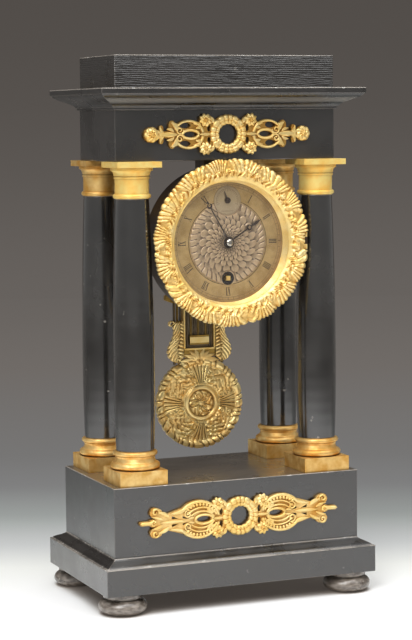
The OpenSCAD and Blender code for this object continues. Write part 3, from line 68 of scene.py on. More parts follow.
@dataclass
class Sheet:
    """A grid of points that becomes a surface of quads.

    Attributes:
        points: array of rows by columns by three, in millimetres.
        round_rows: the last row joins the first.
        round_cols: the last column joins the first.
        painted_shade: painted shade in the relief's hollows at each point, from 0 to 1, or None for none.
    """

    points: np.ndarray
    round_rows: bool = False
    round_cols: bool = True
    painted_shade: np.ndarray | None = None

    def quads(self, start: int) -> np.ndarray:
        """Corner numbers of the quads.

        Args:
            start: number of the sheet's first point in the mesh.

        Returns:
            An array of quads by four.
        """
        rows, cols = self.points.shape[:2]
        row = np.arange(rows if self.round_rows else rows - 1)[:, None]
        col = np.arange(cols if self.round_cols else cols - 1)[None]
        row_next, col_next = (row + 1) % rows, (col + 1) % cols
        first, second = row * cols, row_next * cols
        quad = np.broadcast_arrays(first + col, second + col, second + col_next, first + col_next)
        return start + np.stack([corner.ravel() for corner in quad], -1)

    def shades(self) -> np.ndarray:
        """The painted shade of every point in one row, padded with 0 for the closing rows behind the relief.

        Returns:
            As many values as the sheet has points.
        """
        found = np.zeros(self.points.shape[:2])
        if self.painted_shade is not None:
            found[:len(self.painted_shade)] = self.painted_shade
        return found.ravel()

    def mirrored(self, x: bool = False, z: float | None = None) -> "Sheet":
        """A copy turned over left to right, or top to bottom about a height.

        Args:
            x: turn over left to right.
            z: height to turn over about, or None.

        Returns:
            The turned sheet.
        """
        points = self.points.copy()
        if x:
            points[..., 0] *= -1
        if z is not None:
            points[..., 2] = 2 * z - points[..., 2]
        return Sheet(points, self.round_rows, self.round_cols, self.painted_shade)


def around(count: int) -> np.ndarray:
    """Angles of one full turn, evenly spaced and without the last."""
    return np.linspace(0.0, TURN, count, endpoint=False)


def step(value: np.ndarray, low: float, high: float) -> np.ndarray:
    """A soft step: 0 up to low, 1 from high, and 3t^2 - 2t^3 between them."""
    t = np.clip((value - low) / (high - low), 0.0, 1.0)
    return t * t * (3 - 2 * t)


def ridge(phase: np.ndarray) -> np.ndarray:
    """A row of rounded ridges: 1 - (2f - 1)^2, where f is the phase's fraction."""
    return 1 - (2 * np.mod(phase, 1.0) - 1) ** 2


def round_ridge(phase: np.ndarray) -> np.ndarray:
    """A row of fuller ridges with steep sides: the square root of ridge."""
    return np.sqrt(ridge(phase))


def bell(value: np.ndarray, middle: float, width: float) -> np.ndarray:
    """A bell of height 1: exp(-((value - middle) / width)^2)."""
    return np.exp(-((value - middle) / width) ** 2)


def corners(node: str) -> tuple[np.ndarray, np.ndarray]:
    """Lowest and highest corner of a CAD node, in millimetres."""
    low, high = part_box(node)
    return np.array(low) / MM, np.array(high) / MM


def middle_height(node: str) -> float:
    """Height of a CAD node's middle, in millimetres."""
    low, high = corners(node)
    return (low[2] + high[2]) / 2


def turned(radius: np.ndarray, depth: np.ndarray, turn: np.ndarray, x: float, z: float) -> np.ndarray:
    """Points about a line along Y: x + r sin(a), the depth, z + r cos(a), with a clockwise from the top.

    Args:
        radius: radii, in a shape that fits the others.
        depth: Y of the points.
        turn: angles in radians.
        x: X of the line.
        z: Z of the line.

    Returns:
        An array with one more axis, for the three coordinates.
    """
    r, y, a = np.broadcast_arrays(radius, depth, turn)
    return np.stack([x + r * np.sin(a), y, z + r * np.cos(a)], -1)


def rosette(x: float, z: float, front: float, radius: float, rise: float, petals: int,
            lobe: float = 0.1, twist: float = 0.0, boss: float = 0.25, cols: int = 48) -> Sheet:
    """A closed flower: a dome with a wave for each petal, a lobed rim and a round boss.

    The height is rise times (1 - t^2)^0.5, waved by cos(petals * turn) between middle and rim, and
    the boss is one more small dome inside.

    Args:
        x: X of the middle.
        z: Z of the middle.
        front: Y of the face that it stands on.
        radius: radius of the rim.
        rise: height of the dome.
        petals: number of petals.
        lobe: depth of the rim's lobes, as a share of the radius.
        twist: how far the petals turn from middle to rim, in radians.
        boss: radius of the boss, as a share of the radius.
        cols: points round the rim.

    Returns:
        The closed sheet.
    """
    t = np.array([0, 0.08, 0.16, 0.24, 0.32, 0.42, 0.54, 0.66, 0.78, 0.88, 0.95, 1.0])[:, None]
    a = around(cols)[None]
    wave = np.cos(petals * (a + twist * t))
    r = radius * t * (1 + lobe * wave * t - lobe)
    dome = np.sqrt(np.clip(1 - t ** 2, 0, 1)) * (0.78 + 0.22 * wave * np.sin(np.pi * t))
    knob = 0.35 * np.sqrt(np.clip(1 - (t / boss) ** 2, 0, 1)) - 0.3 * bell(t, boss, 0.1)
    face = turned(r, front - rise * (0.85 * dome + knob + 0.12), a, x, z)
    rim = turned(r[-1:], np.array([[front + SEAT]]), a, x, z)
    back = turned(np.zeros((1, 1)), np.array([[front + SEAT]]), a, x, z)
    return Sheet(np.concatenate([face, rim, back]))


def strip(path: np.ndarray, half: np.ndarray, rise: np.ndarray, front: float,
          groove: float = 0.0, sides: int = 14) -> Sheet:
    """A moulded strip along a path in the XZ plane, with both ends closed.

    Across the path stands half an ellipse, half * cos(a) wide and rise * sin(a) high, with a groove
    of exp(-(cos(a) / 0.25)^2) along the middle where one is asked for. The back is flat.

    Args:
        path: points by two, X and Z.
        half: half the width at each point.
        rise: height at each point.
        front: Y of the face that it stands on.
        groove: depth of the middle groove, as a share of the height.
        sides: points round the section.

    Returns:
        The closed sheet.
    """
    along = np.gradient(path, axis=0)
    along /= np.linalg.norm(along, axis=1, keepdims=True) + 1e-9
    side = np.stack([-along[:, 1], along[:, 0]], -1)
    a = around(sides)[None]
    crown = rise[:, None] * np.abs(np.sin(a)) ** 0.8 * (1 - groove * bell(np.cos(a), 0.0, 0.25))
    out = np.where(np.sin(a) > 0.01, crown, -SEAT)
    flat = path[:, None] + side[:, None] * (half[:, None] * np.cos(a))[..., None]
    points = np.stack([flat[..., 0], front - out, flat[..., 1]], -1)
    ends = np.stack([path[[0, -1], 0], np.full(2, front + 0.1), path[[0, -1], 1]], -1)
    ends = np.repeat(ends[:, None], sides, axis=1)
    return Sheet(np.concatenate([ends[:1], points, ends[1:]]))


def leaf(start: tuple[float, float], end: tuple[float, float], bow: float, half: float, rise: float,
         front: float, groove: float = 0.4, count: int = 14) -> Sheet:
    """A leaf: a strip on a bowed line, as wide as sin(pi * s^0.8)^0.8 of its half width.

    Args:
        start: X and Z of the stalk.
        end: X and Z of the tip.
        bow: how far the middle stands off the straight line, to the left of its direction.
        half: half the greatest width.
        rise: height along the middle.
        front: Y of the face that it stands on.
        groove: depth of the mid rib's groove, as a share of the height.
        count: points along the leaf.

    Returns:
        The closed sheet.
    """
    s = np.linspace(0.02, 0.98, count)
    a, b = np.array(start), np.array(end)
    line = b - a
    normal = np.array([-line[1], line[0]]) / np.linalg.norm(line)
    path = a + s[:, None] * line + (4 * bow * s * (1 - s))[:, None] * normal
    swell = np.sin(np.pi * s ** 0.8) ** 0.8
    return strip(path, half * swell, rise * (0.35 + 0.65 * swell), front, groove)


def scroll(x: float, z: float, front: float, wide: float, tight: float, start: float, turns: float,
           half: float, rise: float, count: int = 40) -> Sheet:
    """A volute: a strip on a spiral whose radius falls evenly, with a swelling eye at its end.

    Args:
        x: X of the eye.
        z: Z of the eye.
        front: Y of the face that it stands on.
        wide: radius at the start.
        tight: radius at the eye.
        start: angle of the start, in degrees from +X towards +Z.
        turns: number of turns; below zero it winds the other way.
        half: half the width of the strip.
        rise: height of the strip.
        count: points along the strip.

    Returns:
        The closed sheet.
    """
    s = np.linspace(0, 1, count)
    a = math.radians(start) + TURN * turns * s
    r = wide + (tight - wide) * s
    path = np.stack([x + r * np.cos(a), z + r * np.sin(a)], -1)
    swell = 0.55 + 0.45 * np.sin(np.pi * np.clip(s * 1.15, 0, 1)) + 0.5 * step(s, 0.85, 1.0)
    return strip(path, half * swell, rise * swell, front)


def prism(outline: np.ndarray, back: float, front: float) -> Sheet:
    """A flat piece: an outline in the XZ plane, from one depth to another, closed at both faces.

    Args:
        outline: points by two, X and Z, in which every point is seen from the middle.
        back: Y of the back face.
        front: Y of the front face.

    Returns:
        The closed sheet.
    """
    middle = outline.mean(axis=0, keepdims=True)
    inmost = np.repeat(middle, len(outline), axis=0)
    flat = np.stack([inmost, outline, outline, inmost])
    depth = np.repeat([[back], [back], [front], [front]], len(outline), axis=1)
    return Sheet(np.stack([flat[..., 0], depth, flat[..., 1]], -1))


def rectangle(left: float, right: float, low: float, high: float) -> np.ndarray:
    """The four corners of an upright rectangle in the XZ plane."""
    return np.array([(left, low), (right, low), (right, high), (left, high)])


def stroke(a: tuple[float, float], b: tuple[float, float], half: float) -> np.ndarray:
    """The four corners of a straight stroke between two points, in any plane.

    Args:
        a: one end.
        b: the other end.
        half: half the stroke's width.

    Returns:
        Four points by two.
    """
    p, q = np.array(a), np.array(b)
    side = np.array([p[1] - q[1], q[0] - p[0]]) / np.linalg.norm(q - p) * half
    return np.stack([p - side, q - side, q + side, p + side])


def ring(x: float, z: float, front: float, inner: float, outer: float, rise: float, cols: int,
         start: float = 0.0, sweep: float = 360.0) -> Sheet:
    """A round moulding, or an arc of one: half an ellipse across, carried round the middle.

    Args:
        x: X of the middle.
        z: Z of the middle.
        front: Y of the face that it stands on.
        inner: inner radius.
        outer: outer radius.
        rise: height of the crown.
        cols: points round it.
        start: angle of the start, in degrees clockwise from the top.
        sweep: angle that it goes round, in degrees.

    Returns:
        The closed sheet of a full ring, or the strip of an arc.
    """
    middle, half = (inner + outer) / 2, (outer - inner) / 2
    s = np.linspace(0, 1, cols)
    if sweep < 360.0:
        a = np.radians(start + sweep * s)
        path = np.stack([x + middle * np.sin(a), z + middle * np.cos(a)], -1)
        return strip(path, np.full(cols, half), np.full(cols, rise), front, sides=8)
    b = around(12)[:, None]
    out = np.where(np.sin(b) > 0.01, rise * np.abs(np.sin(b)) ** 0.8, -0.1)
    radius = middle + half * np.cos(b)
    return Sheet(turned(radius, front - out, around(cols)[None], x, z), round_rows=True)


def tube(x: float, y: float, low: float, high: float, outer: float, inner: float, cols: int = 28,
         bevel: float = 0.2) -> Sheet:
    """A round tube along Z: its section, with the outer corners cut off, carried round its axis.

    Args:
        x: X of the axis.
        y: Y of the axis.
        low: Z of the lower end.
        high: Z of the upper end.
        outer: outer radius.
        inner: radius of the bore.
        cols: points round it.
        bevel: width of the cut corners.

    Returns:
        The closed sheet.
    """
    a = around(cols)[None]
    radius = np.array([inner, outer - bevel, outer, outer, outer - bevel, inner])[:, None]
    height = np.array([low, low, low + bevel, high - bevel, high, high])[:, None]
    r, z, a = np.broadcast_arrays(radius, height, a)
    return Sheet(np.stack([x + r * np.cos(a), y + r * np.sin(a), z], -1), round_rows=True)


# Finishes


def srgb(code: str) -> tuple[float, float, float, float]:
    """An sRGB hex colour as linear red, green, blue and one.

    Args:
        code: the colour, such as "#c0a060".

    Returns:
        Four linear values.
    """
    parts = [int(code[i:i + 2], 16) / 255 for i in (1, 3, 5)]
    linear = [p / 12.92 if p <= 0.04045 else ((p + 0.055) / 1.055) ** 2.4 for p in parts]
    return (linear[0], linear[1], linear[2], 1.0)


def scale(size: float) -> float:
    """Scale of a pattern that repeats about every so many millimetres."""
    return 1 / (size * MM)


def wire(tree: bpy.types.NodeTree, node: bpy.types.Node, inputs: dict) -> None:
    """Sets or links inputs of a node.

    Args:
        tree: the node tree.
        node: the node.
        inputs: for each input a value, another node's output, or a node for the first output it has in use.
    """
    for key, value in inputs.items():
        if isinstance(value, bpy.types.Node):
            value = next(out for out in value.outputs if out.enabled)
        if isinstance(value, bpy.types.NodeSocket):
            tree.links.new(value, node.inputs[key])
        else:
            node.inputs[key].default_value = value


def add(tree: bpy.types.NodeTree, kind: str, inputs: dict | None = None,
        **settings: object) -> bpy.types.Node:
    """Adds a node with its settings, and sets or links its inputs.

    Args:
        tree: the node tree.
        kind: the node's type.
        inputs: what wire is to set or link.
        **settings: properties of the node.

    Returns:
        The new node.
    """
    node = tree.nodes.new(kind)
    for key, value in settings.items():
        setattr(node, key, value)
    wire(tree, node, inputs or {})
    return node


def unshaded_share(tree: bpy.types.NodeTree, depth: float, low: float, high: float) -> bpy.types.Node:
    """A mask against painted shade in relief: 1 where it stands open, less the painted shade its mesh holds,
    down to 0.

    Args:
        tree: the material's nodes.
        depth: how far off a wall the painted shade in the hollows reaches, in millimetres.
        low: share of open sky that counts as none.
        high: share of open sky that counts as all.

    Returns:
        The node that gives the mask.
    """
    # Painted shade: darker near walls, as ambient occlusion finds them, and by the painted shade that the
    # mesh holds
    sky = add(tree, "ShaderNodeAmbientOcclusion", {"Distance": depth * MM}, samples=8).outputs["AO"]
    near = add(tree, "ShaderNodeMapRange", {"Value": sky, "From Min": low, "From Max": high})
    deep = add(tree, "ShaderNodeAttribute", attribute_name="painted_shade").outputs["Fac"]
    return add(tree, "ShaderNodeMath", {0: near, 1: deep}, operation="SUBTRACT", use_clamp=True)


class Grain(Enum):
    """The way that the wood's grain runs, as the stretch of its pattern along X, Y and Z."""

    ALONG_X = (0.06, 1.0, 1.0)
    ALONG_Z = (1.0, 1.0, 0.06)


@dataclass(frozen=True)
class Finish:
    """A surface finish, made into one material.

    Attributes:
        name: the material's name.
    """

    name: str

    def build(self, tree: bpy.types.NodeTree, shader: bpy.types.Node) -> None:
        """Adds the finish's nodes; each finish has its own."""
        raise NotImplementedError(self.name)

    def material(self) -> bpy.types.Material:
        """Makes the material at the first call, and gives the same one after that.

        Returns:
            The material.
        """
        made = bpy.data.materials.get(self.name)
        if made:
            return made
        made = bpy.data.materials.new(self.name)
        made.use_nodes = True
        tree = made.node_tree
        tree.nodes.clear()
        shader = add(tree, "ShaderNodeBsdfPrincipled")
        add(tree, "ShaderNodeOutputMaterial", {"Surface": shader})
        self.build(tree, shader)
        return made

    def dress(self, *nodes: str) -> None:
        """Puts the finish on CAD nodes in place of their plain material.

        Args:
            *nodes: names of the nodes.
        """
        for name in nodes:
            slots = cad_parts[name].data.materials
            slots.clear()
            slots.append(self.material())
        LOG.info("%s on %d nodes", self.name, len(nodes))


@dataclass(frozen=True)
class EbonisedWood(Finish):
    """Pear or beech, stained black and French polished: a dark film gloss with faint grain.

    Edges are rubbed pale and carry a painted highlight where they face up, small chips show, dust with a
    painted reflection lies on what faces up, and the polish is hazy with a painted sheen on what faces
    down to the front.

    Attributes:
        grain: the way that the grain runs.
        dark: colour of the stain.
        light: colour where the polish has dulled.
        ripple: height of the crazed ripples in the polish, in millimetres.
        chips: how many pale chips show, from 0 to 1.
        dust_and_reflection: colour of the dust on what faces up, with a painted reflection in it.
        coat: weight of the polish, from 0 to 1.
        gloss: lowest and highest roughness of the wood.
        film: roughness of the polish.
        scuff: how pale the scuffs are, from 0 for none to 1.
        haze_and_sheen: colour of the hazy polish, a painted sheen on what faces down to the front.
        rubbed_and_highlit: colour of the rubbed edges, also a painted highlight where they face up.
        chipped: colour of the chips.
        nicked: colour of the nicks in rubbed edges.
        scuffed: colour of the scuffs.
        fibre: width of the grain's lines, in millimetres.
        patch: size of the dull patches, in millimetres.
        spot: distance between chips, in millimetres.
        craze: distance between the crazed ripples, in millimetres.
        speck: size of the scuffs, in millimetres.
        round_edge: radius of the worn edges, in millimetres.
    """

    grain: Grain = Grain.ALONG_X
    dark: str = "#181716"
    light: str = "#2b2826"
    ripple: float = 0.0
    chips: float = 0.3
    dust_and_reflection: str = "#6c6255"
    coat: float = 0.7
    gloss: tuple[float, float] = (0.2, 0.42)
    film: float = 0.12
    scuff: float = 0.0
    haze_and_sheen: str = "#949089"
    rubbed_and_highlit: str = "#b8afa4"
    chipped: str = "#8f8a82"
    nicked: str = "#efebe4"
    scuffed: str = "#bdb3a8"
    fibre: float = 1.4
    patch: float = 34.0
    spot: float = 6.5
    craze: float = 1.8
    speck: float = 2.5
    round_edge: float = 1.5

    def build(self, tree: bpy.types.NodeTree, shader: bpy.types.Node) -> None:
        """Stained wood with its dust, wear and painted light laid over it in order, under a clear coat.

        Args:
            tree: the material's nodes.
            shader: its surface shader.
        """
        place = add(tree, "ShaderNodeTexCoord").outputs["Object"]
        shape = add(tree, "ShaderNodeNewGeometry")
        facing = add(tree, "ShaderNodeSeparateXYZ", {0: shape.outputs["Normal"]})
        edge = add(tree, "ShaderNodeBevel", {"Radius": self.round_edge * MM}, samples=8)
        dull = add(tree, "ShaderNodeTexNoise", {"Vector": place, "Scale": scale(self.patch), "Detail": 4.0})
        dust_and_reflection, haze_and_sheen = self.dust_and_sheen(tree, facing, dull)
        layers = [(dust_and_reflection, self.dust_and_reflection), (haze_and_sheen, self.haze_and_sheen)]
        layers += self.wear(tree, place, shape.outputs["True Normal"], edge, dull)
        if self.scuff:
            layers.append((self.scuffs(tree, place), self.scuffed))
        tone = add(tree, "ShaderNodeMapRange", {"Value": dull, "From Min": 0.3, "From Max": 0.7})
        colour = add(tree, "ShaderNodeMix", {0: tone, 6: srgb(self.dark), 7: srgb(self.light)},
                     data_type="RGBA")
        for mask, code in layers:
            colour = add(tree, "ShaderNodeMix", {0: mask, 6: colour, 7: srgb(code)}, data_type="RGBA")
        gloss = add(tree, "ShaderNodeMapRange", {"Value": dull, "From Min": 0.3, "From Max": 0.7,
                                                 "To Min": self.gloss[0], "To Max": self.gloss[1]})
        matt = add(tree, "ShaderNodeMath", {0: haze_and_sheen, 1: 0.35, 2: gloss}, operation="MULTIPLY_ADD")
        bump = self.relief(tree, place, facing, edge)
        wire(tree, shader, {"Base Color": colour, "Roughness": matt, "Normal": bump, "Coat Normal": bump,
                            "Specular IOR Level": 0.9, "Coat Weight": self.coat, "Coat Roughness": self.film})

    def dust_and_sheen(self, tree: bpy.types.NodeTree, facing: bpy.types.Node,
             dull: bpy.types.Node) -> tuple[bpy.types.Node, bpy.types.Node]:
        """Dust with painted reflection on what faces up; hazy polish with painted sheen facing down and
        forward.

        Args:
            tree: the material's nodes.
            facing: the normal's three parts.
            dull: the dull patches.

        Returns:
            The masks of the dust with its painted reflection, and of the hazy polish with its painted sheen.
        """
        # Dust on what faces up; its colour also holds a painted reflection
        level = add(tree, "ShaderNodeMapRange", {"Value": facing.outputs["Z"], "From Min": 0.9,
                                                 "From Max": 1.0})
        drift = add(tree, "ShaderNodeMapRange", {"Value": dull, "From Min": 0.3, "From Max": 0.7,
                                                 "To Min": 0.5, "To Max": 0.72})
        dust_and_reflection = add(tree, "ShaderNodeMath", {0: level, 1: drift}, operation="MULTIPLY")
        # Painted sheen: a pale band on what faces down to the front, where the polish is also hazy and
        # rougher
        under = add(tree, "ShaderNodeMapRange", {"Value": facing.outputs["Z"], "From Min": -0.9,
                                                 "From Max": -0.955, "To Max": 0.85})
        ahead = add(tree, "ShaderNodeMapRange", {"Value": facing.outputs["Y"], "From Min": -0.05,
                                                 "From Max": -0.25})
        haze_and_sheen = add(tree, "ShaderNodeMath", {0: under, 1: ahead}, operation="MULTIPLY")
        return dust_and_reflection, haze_and_sheen

    def wear(self, tree: bpy.types.NodeTree, place: bpy.types.NodeSocket, flat: bpy.types.NodeSocket,
             edge: bpy.types.Node, dull: bpy.types.Node) -> list[tuple[bpy.types.Node, str]]:
        """Rubbed edges with a painted highlight, chips, and nicks in those edges.

        An edge is where the bevelled normal leaves the true one. It is rubbed in patches, paler most where it
        faces up: a painted highlight.

        Args:
            tree: the material's nodes.
            place: the coordinates.
            flat: the true normal.
            edge: the bevelled normal.
            dull: the dull patches.

        Returns:
            A mask and a colour for each.
        """
        meet = add(tree, "ShaderNodeVectorMath", {0: edge, 1: flat}, operation="DOT_PRODUCT")
        rubbed_and_highlit = add(tree, "ShaderNodeMapRange", {"Value": meet, "From Min": 0.99, "From Max": 0.92})
        broken = add(tree, "ShaderNodeMapRange", {"Value": dull, "From Min": 0.25, "From Max": 0.5})
        patchy = add(tree, "ShaderNodeMath", {0: rubbed_and_highlit, 1: broken}, operation="MULTIPLY")
        rise = add(tree, "ShaderNodeSeparateXYZ", {0: edge}).outputs["Z"]
        # Painted highlight: edges that face up are paler
        upper = add(tree, "ShaderNodeMapRange", {"Value": rise, "From Max": 0.4, "To Min": 0.15})
        wear_and_highlight = add(tree, "ShaderNodeMath", {0: patchy, 1: upper}, operation="MULTIPLY")
        spots = add(tree, "ShaderNodeTexNoise", {"Vector": place, "Scale": scale(self.spot), "Detail": 2.0})
        chip = add(tree, "ShaderNodeMapRange", {"Value": spots, "From Min": 0.72, "From Max": 0.76,
                                                "To Max": self.chips})
        nick = add(tree, "ShaderNodeMapRange", {"Value": spots, "From Min": 0.65, "From Max": 0.69})
        nicked = add(tree, "ShaderNodeMath", {0: wear_and_highlight, 1: nick}, operation="MULTIPLY")
        return [(wear_and_highlight, self.rubbed_and_highlit), (chip, self.chipped), (nicked, self.nicked)]

    def scuffs(self, tree: bpy.types.NodeTree, place: bpy.types.NodeSocket) -> bpy.types.Node:
        """Scuffs that lay the pale wood bare in specks, drawn out by the turning.

        Args:
            tree: the material's nodes.
            place: the coordinates.

        Returns:
            Their mask.
        """
        drawn = add(tree, "ShaderNodeMapping", {"Vector": place, "Scale": (0.4, 0.4, 1.0)})
        specks = add(tree, "ShaderNodeTexNoise", {"Vector": drawn, "Scale": scale(self.speck), "Detail": 4.0})
        return add(tree, "ShaderNodeMapRange", {"Value": specks, "From Min": 0.4, "From Max": 0.7,
                                                "To Max": self.scuff})

    def relief(self, tree: bpy.types.NodeTree, place: bpy.types.NodeSocket, facing: bpy.types.Node,
               edge: bpy.types.Node) -> bpy.types.Node:
        """Fine grain on rounded edges, and crazed polish on what stands upright.

        Args:
            tree: the material's nodes.
            place: the coordinates.
            facing: the normal's three parts.
            edge: the bevelled normal.

        Returns:
            The node that gives the normal.
        """
        along = add(tree, "ShaderNodeMapping", {"Vector": place, "Scale": self.grain.value})
        lines = add(tree, "ShaderNodeTexNoise", {"Vector": along, "Scale": scale(self.fibre), "Detail": 3.0})
        bump = add(tree, "ShaderNodeBump", {"Strength": 0.25, "Distance": 0.12 * MM, "Height": lines,
                                            "Normal": edge})
        if not self.ripple:
            return bump
        drawn = add(tree, "ShaderNodeMapping", {"Vector": place, "Scale": (0.25, 0.25, 1.0)})
        wave = add(tree, "ShaderNodeTexWave", {"Vector": drawn, "Scale": WAVE_BAND / (self.craze * MM),
                                               "Distortion": 5.0, "Detail": 3.0, "Detail Scale": 1.5},
                   bands_direction="Z")
        upright = add(tree, "ShaderNodeMapRange", {"Value": facing.outputs["Z"], "From Min": 0.5,
                                                   "From Max": 0.9, "To Min": 0.8, "To Max": 0.0})
        return add(tree, "ShaderNodeBump", {"Strength": upright, "Distance": self.ripple * MM,
                                            "Height": wave.outputs["Fac"], "Normal": bump})


@dataclass(frozen=True)
class GiltMetal(Finish):
    """Gilt bronze or brass: warm metal, bright on what stands out, with brown painted shade in the hollows.

    Attributes:
        bright: colour of the gilding.
        deep: its colour where it is thinner.
        painted_shade: colour of the painted shade in the hollows.
        rough: lowest and highest roughness.
        grit: size of the casting's grain, in millimetres.
        cut: height of that grain, in millimetres.
        depth: how far off a wall the painted shade in the hollows reaches, in millimetres.
        metal: share of bright metal; the rest is matt gilding.
        patch: size of the patches of thin gilding, in millimetres.
        round_edge: radius of the cast edges, in millimetres.
    """

    bright: str = "#ffe095"
    deep: str = "#f6cd76"
    painted_shade: str = "#b07a30"
    rough: tuple[float, float] = (0.42, 0.58)
    grit: float = 0.9
    cut: float = 0.05
    depth: float = 3.0
    metal: float = 1.0
    patch: float = 11.0
    round_edge: float = 0.35

    def build(self, tree: bpy.types.NodeTree, shader: bpy.types.Node) -> None:
        """Patches of thin gilding, painted shade in the hollows and a fine cast grain.

        Args:
            tree: the material's nodes.
            shader: its surface shader.
        """
        place = add(tree, "ShaderNodeTexCoord").outputs["Object"]
        patch = add(tree, "ShaderNodeTexNoise", {"Vector": place, "Scale": scale(self.patch), "Detail": 4.0})
        grain = add(tree, "ShaderNodeTexNoise", {"Vector": place, "Scale": scale(self.grit), "Detail": 2.0})
        thin = add(tree, "ShaderNodeMapRange", {"Value": patch, "From Min": 0.35, "From Max": 0.65})
        gild = add(tree, "ShaderNodeMix", {0: thin, 6: srgb(self.bright), 7: srgb(self.deep)},
                   data_type="RGBA")
        # Painted shade: the hollows take a brown of their own
        clear = unshaded_share(tree, self.depth, 0.2, 0.8)
        colour = add(tree, "ShaderNodeMix", {0: clear, 6: srgb(self.painted_shade), 7: gild}, data_type="RGBA")
        gloss = add(tree, "ShaderNodeMapRange", {"Value": patch, "From Min": 0.3, "From Max": 0.7,
                                                 "To Min": self.rough[0], "To Max": self.rough[1]})
        edge = add(tree, "ShaderNodeBevel", {"Radius": self.round_edge * MM}, samples=4)
        bump = add(tree, "ShaderNodeBump", {"Strength": 0.5, "Distance": self.cut * MM, "Height": grain,
                                            "Normal": edge})
        wire(tree, shader, {"Base Color": colour, "Roughness": gloss, "Normal": bump, "Metallic": self.metal})


@dataclass(frozen=True)
class PaintedMetal(Finish):
    """Lacquered, browned or plain polished metal: one tone with fine rubbing and a little mottle.

    Attributes:
        colour: main colour.
        mottle: colour of the patches.
        metallic: 1 for bare metal, 0 for lacquer.
        rough: lowest and highest roughness.
        patch: size of the patches, in millimetres.
        rub: distance between rubbing marks, in millimetres.
    """

    colour: str
    mottle: str
    metallic: float
    rough: tuple[float, float]
    patch: float = 5.0
    rub: float = 0.7

    def build(self, tree: bpy.types.NodeTree, shader: bpy.types.Node) -> None:
        """Mottled colour and roughness, with a faint bump of rubbing marks.

        Args:
            tree: the material's nodes.
            shader: its surface shader.
        """
        place = add(tree, "ShaderNodeTexCoord").outputs["Object"]
        patch = add(tree, "ShaderNodeTexNoise", {"Vector": place, "Scale": scale(self.patch), "Detail": 4.0})
        rub = add(tree, "ShaderNodeTexNoise", {"Vector": place, "Scale": scale(self.rub), "Detail": 1.0})
        tones = {0: patch, 6: srgb(self.colour), 7: srgb(self.mottle)}
        colour = add(tree, "ShaderNodeMix", tones, data_type="RGBA")
        gloss = add(tree, "ShaderNodeMapRange", {"Value": patch, "From Min": 0.3, "From Max": 0.7,
                                                 "To Min": self.rough[0], "To Max": self.rough[1]})
        bump = add(tree, "ShaderNodeBump", {"Strength": 0.3, "Distance": 0.02 * MM, "Height": rub})
        wire(tree, shader, {"Base Color": colour, "Roughness": gloss, "Normal": bump,
                            "Metallic": self.metallic})


@dataclass(frozen=True)
class RoundField:
    """A round part of the dial with a tone of its own.

    Attributes:
        middle: X, Y and Z of its middle, in millimetres.
        radius: its radius.
        soft: half the width of its soft edge.
        share: how much of the tone shows, from 0 to 1.
        colour: the tone.
    """

    middle: tuple[float, float, float]
    radius: float
    soft: float
    share: float
    colour: str


@dataclass(frozen=True)
class SilveredBrass(Finish):
    """A silvered brass dial, gone warm with age: satin metal with brown bloom.

    Attributes:
        fields: round parts of another tone.
        silver: colour of the silvering.
        bloom: colour where it has tarnished.
        painted_shade: colour of the painted shade in the hollows.
        depth: how far off a wall the painted shade in the hollows reaches, in millimetres.
        patch: size of the tarnished patches, in millimetres.
        grit: size of the grain, in millimetres.
        rough: lowest and highest roughness.
        metal: share of bright metal; the rest is dull silvering.
    """

    fields: tuple[RoundField, ...]
    silver: str = "#d0b079"
    bloom: str = "#ab8c58"
    painted_shade: str = "#4c4038"
    depth: float = 1.5
    patch: float = 13.0
    grit: float = 0.8
    rough: tuple[float, float] = (0.34, 0.5)
    metal: float = 0.6

    def build(self, tree: bpy.types.NodeTree, shader: bpy.types.Node) -> None:
        """Tarnish in patches, painted shade in the hollows, and the round fields.

        Args:
            tree: the material's nodes.
            shader: its surface shader.
        """
        place = add(tree, "ShaderNodeTexCoord").outputs["Object"]
        patch = add(tree, "ShaderNodeTexNoise", {"Vector": place, "Scale": scale(self.patch), "Detail": 5.0})
        grain = add(tree, "ShaderNodeTexNoise", {"Vector": place, "Scale": scale(self.grit), "Detail": 2.0})
        old = add(tree, "ShaderNodeMapRange", {"Value": patch, "From Min": 0.35, "From Max": 0.7})
        tone = add(tree, "ShaderNodeMix", {0: old, 6: srgb(self.silver), 7: srgb(self.bloom)},
                   data_type="RGBA")
        for part in self.fields:
            middle = tuple(c * MM for c in part.middle)
            outer, inner = ((part.radius + off) * MM for off in (part.soft, -part.soft))
            away = add(tree, "ShaderNodeVectorMath", {0: place, 1: middle}, operation="DISTANCE")
            inside = add(tree, "ShaderNodeMapRange", {"Value": away, "From Min": outer, "From Max": inner,
                                                      "To Max": part.share})
            tone = add(tree, "ShaderNodeMix", {0: inside, 6: tone, 7: srgb(part.colour)}, data_type="RGBA")
        # Painted shade in the hollows of the dial's relief
        clear = unshaded_share(tree, self.depth, 0.3, 0.85)
        colour = add(tree, "ShaderNodeMix", {0: clear, 6: srgb(self.painted_shade), 7: tone}, data_type="RGBA")
        gloss = add(tree, "ShaderNodeMapRange", {"Value": patch, "From Min": 0.3, "From Max": 0.7,
                                                 "To Min": self.rough[0], "To Max": self.rough[1]})
        bump = add(tree, "ShaderNodeBump", {"Strength": 0.4, "Distance": 0.03 * MM, "Height": grain})
        wire(tree, shader, {"Base Color": colour, "Roughness": gloss, "Normal": bump, "Metallic": self.metal})


